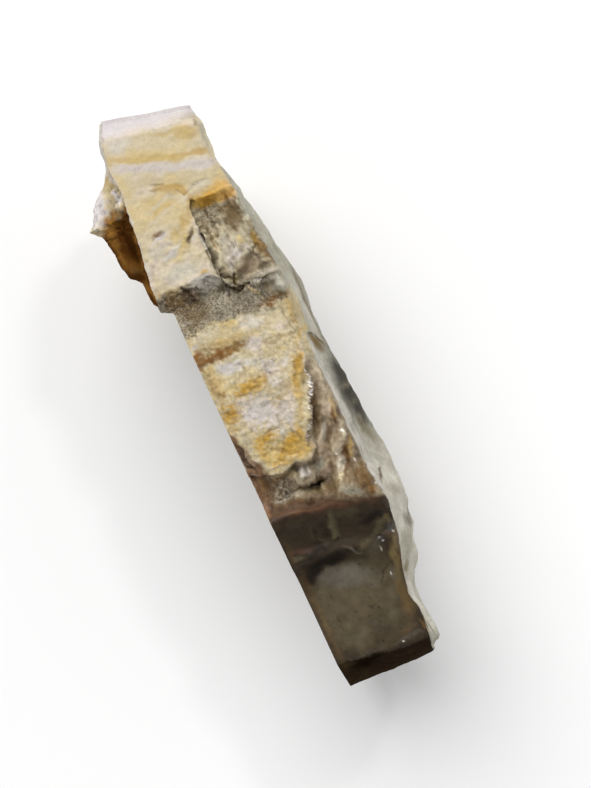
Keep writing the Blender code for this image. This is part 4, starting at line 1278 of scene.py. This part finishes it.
def hollow_colours(colours, top, sunk, grit):
    """Stains, dark pepper and cream chips of the hollow, with painted light on its wall and lip."""
    x, y, points = top.x, top.y, top.points
    colours = painted(blend(colours, "stone", sunk), x, y, HOLLOW_MARKS, sunk, 0.3 * grit)
    # Painted light: the wall and the near side of the hollow face away from the key light, so their colours
    # are made lighter
    painted_light_wall = between(x, *PAINTED_LIGHT_WALL_SPAN) * ramp(y, 9.8, 10.6)
    lip = between(x, *PAINTED_LIGHT_LIP_SPAN) * ridge(y - PAINTED_LIGHT_LIP, 0.5)
    colours = brighter(colours, 0.6 * painted_light_wall + 0.5 * lip)
    rugged = sunk * bump(x, y, *RUGGED_SPOT) ** 0.5
    colours = blend(colours, "mud", 0.75 * rugged * ramp(noise_at(points, 0.8, 3), 0.02, 0.4))
    colours = blend(colours, "drab", 0.5 * sunk * ramp(noise_at(points, 1.3, 4), 0.1, 0.5))
    return blend(colours, "cream", 0.8 * rugged * ramp(-noise_at(points + 5.0, 0.9, 3), 0.08, 0.35))


def block_colours(colours, stone, top, sunk, grit):
    """Crumbs along the rind, and the tan block with its stains."""
    x, y, points = top.x, top.y, top.points
    block = ramp(x - 0.10 * y + 1.6 * noise_at(points, 0.8, 2), *BLOCK_START)
    crumbly = np.maximum(0.1 + 0.5 * crumbling(x, y), block) * (1.0 - 0.6 * top.calm)
    crumbly = crumbly * (1.0 - top.slope) * (1.0 - top.flint) * (1.0 - sunk)
    colours = crumbled(blend(colours, "tan", block), points, crumbly)
    patchy = block * np.clip(1.0 + 0.7 * noise_at(points + 3.0, 1.3, 3), 0.6, 1.0)
    fibrous = stone.x + 0.6 * drawn_out(stone.x, stone.y, 1.1, 3.0)
    colours = painted(colours, fibrous, y, BLOCK_MARKS, patchy, 0.45 * grit)
    return brighter(colours, 0.22 * crumbly * noise_at(points, 0.6, 3))


def slope_colours(colours, top, grit):
    """Brown and misty folds of the slope below the block, with their stains."""
    folds = blend(plain("fibre", top.points), "umber", 0.65 * ramp(-top.streak, 0.02, 0.4))
    folds = blend(folds, "mist", 0.3 * ramp(top.streak, 0.1, 0.5))
    colours = painted(blend(colours, folds, top.slope), top.x, top.y, SLOPE_MARKS, top.slope, 0.2 * grit)
    return brighter(colours, top.slope * (0.2 * noise_at(top.points, 0.8, 3) + 0.15 * top.streak))


def painted_highlight_beads(colours, top):
    """Painted highlights: glinting beads along the block's wet edge and along the wet rim beside it."""
    edge = ridge(top.y - along(BLOCK_EDGE, top.x) - 0.3, 0.34) * between(top.x, *PAINTED_HIGHLIGHT_EDGE)
    rim = ridge(top.y - WET_RIM, 0.9) * between(top.x, *PAINTED_HIGHLIGHT_RIM)
    beads = 0.45 + 1.4 * noise_at(top.points * (0.7, 1.6, 1.0), 0.6, 2)
    return blend(colours, "painted_glint", ramp((1.2 * edge + 0.6 * rim) * beads, 0.66, 0.82))


def flint_colours(colours, top):
    """The dark flint with its stains and pits."""
    colours = painted(blend(colours, "cocoa", top.flint), top.x, top.y, FLINT_MARKS, top.flint)
    pits = ramp(noise_at(top.points + 4.0, 0.55), 0.42, 0.6)
    return brighter(colours, top.flint * (0.25 * noise_at(top.points, 1.6, 4) - 0.4 * pits))


def top_colours(stone, top):
    """The stains, bands and flint of the top, with its scar and its dark cracks."""
    x, y = top.x, top.y
    grit = noise_at(top.points + 8.0, 0.6, 3)
    sunk = sunk_share(top)
    colours = hollow_colours(rind_colours(top, grit), top, sunk, grit)
    ledge = top.past_step * (1.0 - 0.9 * sunk)
    colours = painted(blend(colours, "ash", ledge), x, y, LEDGE_MARKS, ledge)
    colours = block_colours(colours, stone, top, sunk, grit)
    colours = flint_colours(painted_highlight_beads(slope_colours(colours, top, grit), top), top)
    colours = painted(blend(colours, "brick", top.scar), x, y, SCAR_MARKS, top.scar)
    # Each crack is darkened by its depth: partly dirt in it and partly painted shade
    for line, width, drop in CRACKS:
        near = ridge(line_reach(x, y, line), width)
        colours = blend(colours, "umber", near * min(0.85, 1.2 * max(drop, 0.0)))
    return colours


def back_colours(stone, points):
    """The pale patina of the back, with dark stripes and fresh dark scars."""
    x = stone.x + 2.2 * noise_at(points, 9.0) + 0.6 * noise_at(points, 2.5)
    colours = blend(plain("patina", points), "fog", ramp(x, 14.0, 19.0))
    wave = np.sin(x * 1.35 + 0.8) * 0.5 + 0.5
    striped = between(x, *STRIPED_SPAN) * ramp(stone.depth, 3.5, 5.5)
    colours = blend(colours, "stripe", striped * (0.35 + 0.6 * ramp(wave, 0.35, 0.75)))
    haze = noise_at(points, 7.0, 4)
    colours = blend(colours, "ash", 0.45 * ramp(haze, 0.0, 0.5))
    colours = blend(colours, "brown", 0.3 * ramp(-haze, 0.25, 0.6))
    seen_x, seen_y = seen(points)
    wobble = 0.5 * noise_at(points, 1.6, 2)
    shown = 1.0 - ramp(stone.depth + 6.0 * haze, 20.0, 36.0)
    pale = blend(colours, "patina", 0.7 * shown)
    colours = blend(colours, pale, shown)
    colours = painted(colours, seen_x + wobble, seen_y + 0.4 * wobble, BACK_MARKS, shown)
    fresh = ramp(scars(stone.x, stone.depth, BACK_SCARS) + 0.9 * noise_at(points, 6.0, 4), 0.2, 1.1)
    flinty = blend(plain("slate", points), "stripe", ramp(noise_at(points, 8.0, 4), -0.4, 0.5))
    return blend(colours, flinty, fresh * 0.55)


def sawn_colours(stone, points, haze):
    """The dark flint of the sawn face, banded below its thin pale rind."""
    below = stone.depth + 1.2 * noise_at(points, 6.0, 3)
    inward = below - along(RIND_ON_FACE, stone.x + 1.5 * noise_at(points, 5.0))
    flint = blend(plain("cocoa", points), "olive", ramp(haze, -0.6, 0.6))
    waves = inward + 5.0 * haze
    bands = np.sin(waves * 0.7) * 0.5 + np.sin(waves * 1.7 + 1.0) * 0.25 + 0.5
    near = 1.0 - 0.8 * ramp(inward, 3.0, 26.0)
    flint = blend(flint, "haze", np.clip(0.3 * bands * near, 0.0, 1.0))
    flint = blend(flint, "haze", 0.8 * ridge(inward - 0.8, 1.0))
    wisps = noise_at(points * (0.7, 1.0, 1.0) + 9.0, 4.2, 3)
    flint = blend(flint, "dusk", 0.4 * ramp(wisps, 0.12, 0.6))
    flint = blend(flint, "pitch", 0.4 * ramp(-wisps, 0.12, 0.6))
    flint = blend(flint, "dusk", 0.5 * ramp(noise_at(points + 21.0, 2.8, 2), 0.4, 0.7))
    pale = blend(plain("cream", points), "gold", ramp(noise_at(points, 2.4, 3), 0.1, 0.5))
    return blend(pale, flint, ramp(inward, -0.3, 0.5))


def broken_colours(stone, points, haze):
    """The broken amber stub beside the sawn face, chalky towards the stone's end."""
    stub = plain("resin", points)
    stub = blend(stub, "honey", 0.7 * ramp(noise_at(points * (1.0, 1.0, 0.35), 3.2, 4), -0.3, 0.5))
    stub = blend(stub, "cocoa", 0.8 * ramp(stone.depth + 8.0 * haze, 16.0, 34.0))
    flake = 3.2 * ridge(stone.depth - 11.0, 4.0)
    chalky = 1.0 - ramp(stone.x - flake + 2.4 * noise_at(points, 5.0, 3), -38.6, -37.0)
    white = np.maximum(ramp(-stone.x, 42.0, 44.0), ramp(noise_at(points, 3.0, 3), -0.1, 0.3))
    stub = blend(stub, blend(plain("tan", points), "bright", white), chalky)
    x, y = seen(points)
    wobble = noise_at(points * (1.0, 1.0, 0.4), 1.2, 3)
    shown = (1.0 - ramp(stone.depth, 12.0, 20.0)) * np.where(stone.x > -36.0, 1.0 - chalky, 1.0)
    return painted(stub, x + 0.8 * wobble, y + 0.5 * wobble, STUB_MARKS, shown)


def face_colours(stone, points):
    """The sawn face, and the broken stub beside it."""
    haze = noise_at(points, 15.0, 3)
    beside = ramp(saw_stop(stone.depth) - points[:, 0], 0.0, 0.8)
    return blend(sawn_colours(stone, points, haze), broken_colours(stone, points, haze), beside)


def end_colours(stone, points):
    """White chalk at one end and dark flint at the other."""
    haze = noise_at(points, 5.0, 4)
    cream = ramp(haze, -0.3, 0.6) * ramp(stone.depth, 2.0, 16.0)
    chalk = blend(plain("white", points), "cream", 0.9 * cream)
    bands = np.sin(stone.depth * 0.5 + 7.0 * haze) * 0.5 + 0.5
    chalk = blend(chalk, "tan", 0.25 * bands * ramp(stone.depth, 4.0, 14.0))
    dark = blend(plain("cocoa", points), "pitch", ramp(haze, -0.5, 0.5))
    dark = blend(dark, "olive", 0.7 * ramp(noise_at(points, 16.0, 2), -0.2, 0.5))
    return blend(chalk, dark, ramp(stone.x, -10.0, 10.0))


def under_colours(stone, points):
    """The natural underside: patina with cream rind towards the chalky end."""
    haze = noise_at(points, 8.0, 4)
    hazy = ramp(haze, -0.2, 0.3)
    pale = blend(plain("stone", points), "cream", hazy)
    grey = blend(plain("patina", points), "ash", hazy)
    return blend(pale, grey, ramp(stone.x + 6.0 * haze, -22.0, -8.0))


def stone_colours(stone, top):
    """The colour of every point, softly joined from side to side, with a painted highlight along the rim of
    the back.
    """
    points = top.points
    under = under_colours(stone, points)
    low = ramp(HEIGHT - stone.depth, 2.0, 9.0)
    colours = np.where(stone.back[:, None], blend(under, back_colours(stone, points), low), under)
    colours = np.where(stone.ends[:, None], blend(under, end_colours(stone, points), low), colours)
    colours = np.where(stone.face[:, None], face_colours(stone, points), colours)
    over_edge = 1.0 - ramp(stone.depth, 0.2, np.where(stone.back, 1.0, 2.2))
    over_edge = np.where(stone.face, 0.0, over_edge)
    colours = blend(colours, top_colours(stone, top), np.where(stone.top, 1.0, over_edge))
    # A painted highlight along the rim of the back, just below the top
    rim = stone.back * between(stone.depth, *PAINTED_RIM_HIGHLIGHT_DEPTH) * between(stone.x, *PAINTED_RIM_HIGHLIGHT)
    return blend(colours, "bright", 0.8 * rim)


def top_dullness(top):
    """How dull each place on the top is: chalk is dull, and flint and wet edges aren't."""
    x, y, flint = top.x, top.y, top.flint
    wet = top.slope * (0.75 + 0.5 * noise_at(top.points, 1.3, 2))
    edge = ridge(y - along(BLOCK_EDGE, x) - 0.2, 0.7) * between(x, *EDGE_GLOSS)
    rim = 0.8 * ramp(y, WET_RIM, WET_RIM + 1.0) * between(x, *RIM_GLOSS)
    hollow_rim = ramp(y, 16.6, 17.6) * ramp(x, -32.0, -28.0)
    dull = 0.9 - 0.6 * wet - 0.6 * flint - 0.4 * top.scar - 0.8 * np.maximum(edge, rim) - 0.4 * hollow_rim
    dull = dull + 0.5 * ramp(x - across(THIRD_RIDGE, y), -1.6, -0.4)
    dull = dull + 0.5 * ridge(x - across(FIRST_RIDGE, y), 0.9)
    dull = dull + 0.4 * flint * ridge(x - across(SECOND_RIDGE, y) + 0.4, 1.2)
    return dull + 0.6 * flint * ramp(y - along(RIGHT_EDGE, x), -1.4, -0.5)


def stone_finish(stone, top):
    """For each point, how far it is dull, grainy, mottled and sawn."""
    sawn = stone.face & (top.points[:, 0] > saw_stop(stone.depth))
    broken = 0.4 + 0.5 * (1.0 - ramp(stone.x, -38.5, -36.0))
    side = np.where(stone.ends, 0.9, np.where(stone.face & ~sawn, broken, 0.35))
    dull = top_dullness(top)
    side = side + (dull - side) * (1.0 - ramp(stone.depth, 0.2, 2.2))
    dull = np.clip(np.where(stone.top, dull, side), 0.0, 1.0)
    mottle = 0.22 + (0.3 - 0.2 * top.calm) * top.past_step - 0.4 * top.flint
    return np.column_stack((dull, top.grain * stone.top, np.where(stone.top, mottle, 0.5), sawn))


def add_colours(mesh, name, colours):
    """Keep a colour for each vertex under a name that the material reads."""
    layer = mesh.color_attributes.new(name, "FLOAT_COLOR", "POINT")
    layer.data.foreach_set("color", colours.astype(np.float32).ravel())


def in_shade(stone, points):
    """Which points take the material of the faces that are seen at a grazing angle."""
    end_facet = stone.top & (stone.x > across(THIRD_RIDGE, stone.y))
    stub = stone.face & (points[:, 0] < saw_stop(stone.depth))
    return stone.back | end_facet | stub


def make_stone():
    """Build the visible stone over its CAD solid."""
    bm = fine_block()
    block = np.array([vert.co for vert in bm.verts])
    stone = Stone(block)
    normals = set_points(bm, stone.points)
    points = roughened(stone.points, normals, block)
    middle = (points.min(axis=0) + points.max(axis=0)) / 2.0
    middle[2] = 0.0
    normals = set_points(bm, points)
    top = Top(stone, points)
    relief = fine_relief(stone, top)
    set_points(bm, (detailed(stone, points, normals, relief) - middle) * MM)
    mesh = bpy.data.meshes.new("rough_flint")
    bm.to_mesh(mesh)
    bm.free()
    # Painted shade in the pits of the fine relief, and painted light on its raised places
    colours = brighter(stone_colours(stone, top), RELIEF_SHADING * np.clip(relief, *RELIEF_SHADING_REACH))
    add_colours(mesh, "tint", np.column_stack((colours, np.ones(len(points)))))
    add_colours(mesh, "finish", stone_finish(stone, top))
    corners = np.array([face.vertices[0] for face in mesh.polygons])
    mesh.polygons.foreach_set("material_index", in_shade(stone, points)[corners].astype(np.int32))
    mesh.shade_smooth()
    mesh.set_sharp_from_angle(angle=math.radians(SHARP_ANGLE))
    piece = bpy.data.objects.new("rough_flint", mesh)
    bpy.context.scene.collection.objects.link(piece)
    return piece, middle


def node(tree, kind, inputs=(), **settings):
    """Add a node, with its settings and with a value or a link for each input."""
    made = tree.nodes.new(kind)
    for name, value in settings.items():
        setattr(made, name, value)
    for name, value in dict(inputs).items():
        if isinstance(value, bpy.types.NodeSocket):
            tree.links.new(value, made.inputs[name])
        else:
            made.inputs[name].default_value = value
    return made


def mapped(tree, value, low, high, start, end):
    """Map a value's range from low and high to start and end, and stop there."""
    inputs = {"Value": value, "From Min": low, "From Max": high, "To Min": start, "To Max": end}
    return node(tree, "ShaderNodeMapRange", inputs).outputs["Result"]


def maths(tree, operation, first, second):
    """One sum of two values."""
    return node(tree, "ShaderNodeMath", {0: first, 1: second}, operation=operation).outputs[0]


def mixed(tree, share, first, second, blend_type="MIX"):
    """Mix two colours by a share."""
    made = tree.nodes.new("ShaderNodeMix")
    made.data_type = "RGBA"
    made.blend_type = blend_type
    for socket, value in ((made.inputs[0], share), (made.inputs[6], first), (made.inputs[7], second)):
        if isinstance(value, bpy.types.NodeSocket):
            tree.links.new(value, socket)
        else:
            socket.default_value = value
    return made.outputs[2]


def cloud(tree, place, scale, detail, roughness=0.6):
    """A noise texture's value at a place."""
    inputs = {"Vector": place, "Scale": scale, "Detail": detail, "Roughness": roughness}
    return node(tree, "ShaderNodeTexNoise", inputs).outputs["Fac"]


def saw_arcs(tree, place, middle):
    """Fine uneven arcs about the middle of the round saw, on the sawn face."""
    reach = math.sqrt(SAW_RADIUS ** 2 - SAW_MIDDLE ** 2)
    hub = ((SAW_STOP_X + reach - middle[0]) * MM, 0.0, (HEIGHT - SAW_MIDDLE) * MM)
    flat = node(tree, "ShaderNodeVectorMath", {0: place, 1: (1.0, 0.0, 1.0)}, operation="MULTIPLY")
    away = node(tree, "ShaderNodeVectorMath", {0: flat.outputs[0], 1: hub}, operation="DISTANCE")
    inputs = {"W": away.outputs["Value"], "Scale": ARC_SCALE, "Detail": 3.0}
    return node(tree, "ShaderNodeTexNoise", inputs, noise_dimensions="1D").outputs["Fac"]


def rock_colour(tree, place, arcs, grain, mottle):
    """The painted tint with crumbs, saw arcs, pepper and salt grains, and dark specks."""
    tint = node(tree, "ShaderNodeAttribute", attribute_name="tint").outputs["Color"]
    crumbs = mapped(tree, cloud(tree, place, CRUMB_SCALE, 5.0), 0.3, 0.7, *CRUMB_SHADE)
    shade = maths(tree, "MULTIPLY", crumbs, mottle)
    shade = maths(tree, "ADD", shade, mapped(tree, arcs, 0.0, 1.0, 1.0, ARC_SHADE))
    grey = node(tree, "ShaderNodeCombineColor", {0: shade, 1: shade, 2: shade}).outputs[0]
    colour = mixed(tree, 1.0, tint, grey, "MULTIPLY")
    grains = cloud(tree, place, GRAIN_SCALE, 3.0, 0.75)
    specks = cloud(tree, place, SPECK_SCALE, 2.0)
    layers = [(PEPPER, grains, grain), (SALT, grains, grain), (SPECK, specks, mottle)]
    for (tone, start, full, most), value, share in layers:
        amount = maths(tree, "MULTIPLY", mapped(tree, value, start, full, 0.0, most), share)
        colour = mixed(tree, amount, colour, tone)
    return colour


def rock_height(tree, place, arcs, dull, rough):
    """Fine height for the bump: chalky where dull, smooth where glossy, and the saw arcs."""
    chalky = cloud(tree, place, GRAIN_SCALE, 8.0, 0.7)
    smooth = cloud(tree, place, SMOOTH_SCALE, 5.0, 0.5)
    height = node(tree, "ShaderNodeMix", {0: dull, 2: smooth, 3: chalky}).outputs[0]
    height = maths(tree, "MULTIPLY", height, mapped(tree, rough, 0.0, 1.2, 0.35, 1.5))
    return maths(tree, "ADD", height, maths(tree, "MULTIPLY", arcs, 0.5))


def stone_material(name, specular, middle):
    """Chalky rind, salt-and-pepper grains, glossy flint and a sawn face."""
    material = bpy.data.materials.new(name)
    material.use_nodes = True
    tree = material.node_tree
    shader = tree.nodes["Principled BSDF"]
    place = node(tree, "ShaderNodeTexCoord").outputs["Object"]
    finish = node(tree, "ShaderNodeAttribute", attribute_name="finish")
    dull, grain, mottle = node(tree, "ShaderNodeSeparateColor", {"Color": finish.outputs["Color"]}).outputs
    arcs = maths(tree, "MULTIPLY", saw_arcs(tree, place, middle), finish.outputs["Alpha"])
    tree.links.new(rock_colour(tree, place, arcs, grain, mottle), shader.inputs["Base Color"])
    wear = mapped(tree, cloud(tree, place, WEAR_SCALE, 4.0), 0.3, 0.7, *WEAR)
    rough = maths(tree, "ADD", mapped(tree, dull, 0.0, 1.0, *ROUGHNESS), wear)
    tree.links.new(rough, shader.inputs["Roughness"])
    shader.inputs["Specular IOR Level"].default_value = specular
    height = rock_height(tree, place, arcs, dull, maths(tree, "ADD", mottle, grain))
    inputs = {"Height": height, "Strength": BUMP_STRENGTH, "Distance": BUMP_HEIGHT}
    tree.links.new(node(tree, "ShaderNodeBump", inputs).outputs["Normal"], shader.inputs["Normal"])
    return material


def make_camera(middle):
    """Look straight down on the stone's edge, turned as in the photograph."""
    data = bpy.data.cameras.new("camera")
    data.sensor_width = SENSOR
    data.lens = data.sensor_width * SIGHT / FRAME_HEIGHT
    camera = bpy.data.objects.new("camera", data)
    camera.location = ((AXIS_X - middle[0]) * MM, (AXIS_Y - middle[1]) * MM, (HEIGHT + SIGHT) * MM)
    camera.rotation_euler = (0.0, 0.0, math.radians(TURN))
    bpy.context.scene.collection.objects.link(camera)
    bpy.context.scene.camera = camera


def make_light(name, kind, place, size, power):
    """A soft light that looks at the stone: a far one if it is a sun."""
    data = bpy.data.lights.new(name, kind)
    data.energy = power
    if kind == "SUN":
        data.angle = math.radians(size)
    else:
        data.size = size
    light = bpy.data.objects.new(name, data)
    light.location = place
    light.rotation_euler = (Vector(LIGHT_AIM) - Vector(place)).to_track_quat("-Z", "Y").to_euler()
    bpy.context.scene.collection.objects.link(light)


def make_floor():
    """A plain pale floor."""
    bm = bmesh.new()
    bmesh.ops.create_grid(bm, x_segments=1, y_segments=1, size=FLOOR_SIZE)
    mesh = bpy.data.meshes.new("floor")
    bm.to_mesh(mesh)
    bm.free()
    floor = bpy.data.objects.new("floor", mesh)
    material = bpy.data.materials.new("floor")
    material.use_nodes = True
    shader = material.node_tree.nodes["Principled BSDF"]
    shader.inputs["Base Color"].default_value = FLOOR_TINT
    shader.inputs["Roughness"].default_value = 0.9
    shader.inputs["Specular IOR Level"].default_value = 0.1
    mesh.materials.append(material)
    bpy.context.scene.collection.objects.link(floor)


def make_world():
    """Pale light from all round."""
    world = bpy.data.worlds.new("world")
    world.use_nodes = True
    background = world.node_tree.nodes["Background"]
    background.inputs["Color"].default_value = (1.0, 1.0, 1.0, 1.0)
    background.inputs["Strength"].default_value = WORLD_LIGHT
    bpy.context.scene.world = world


piece, stone_middle = make_stone()
piece.data.materials.append(stone_material("flint_stone", LIT_GLOSS, stone_middle))
piece.data.materials.append(stone_material("flint_shaded", SHADED_GLOSS, stone_middle))
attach(piece, "root")
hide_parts("flint")
make_floor()
make_camera(stone_middle)
for light in LIGHTS:
    make_light(*light)
make_world()
bpy.context.scene.view_settings.view_transform = "Standard"
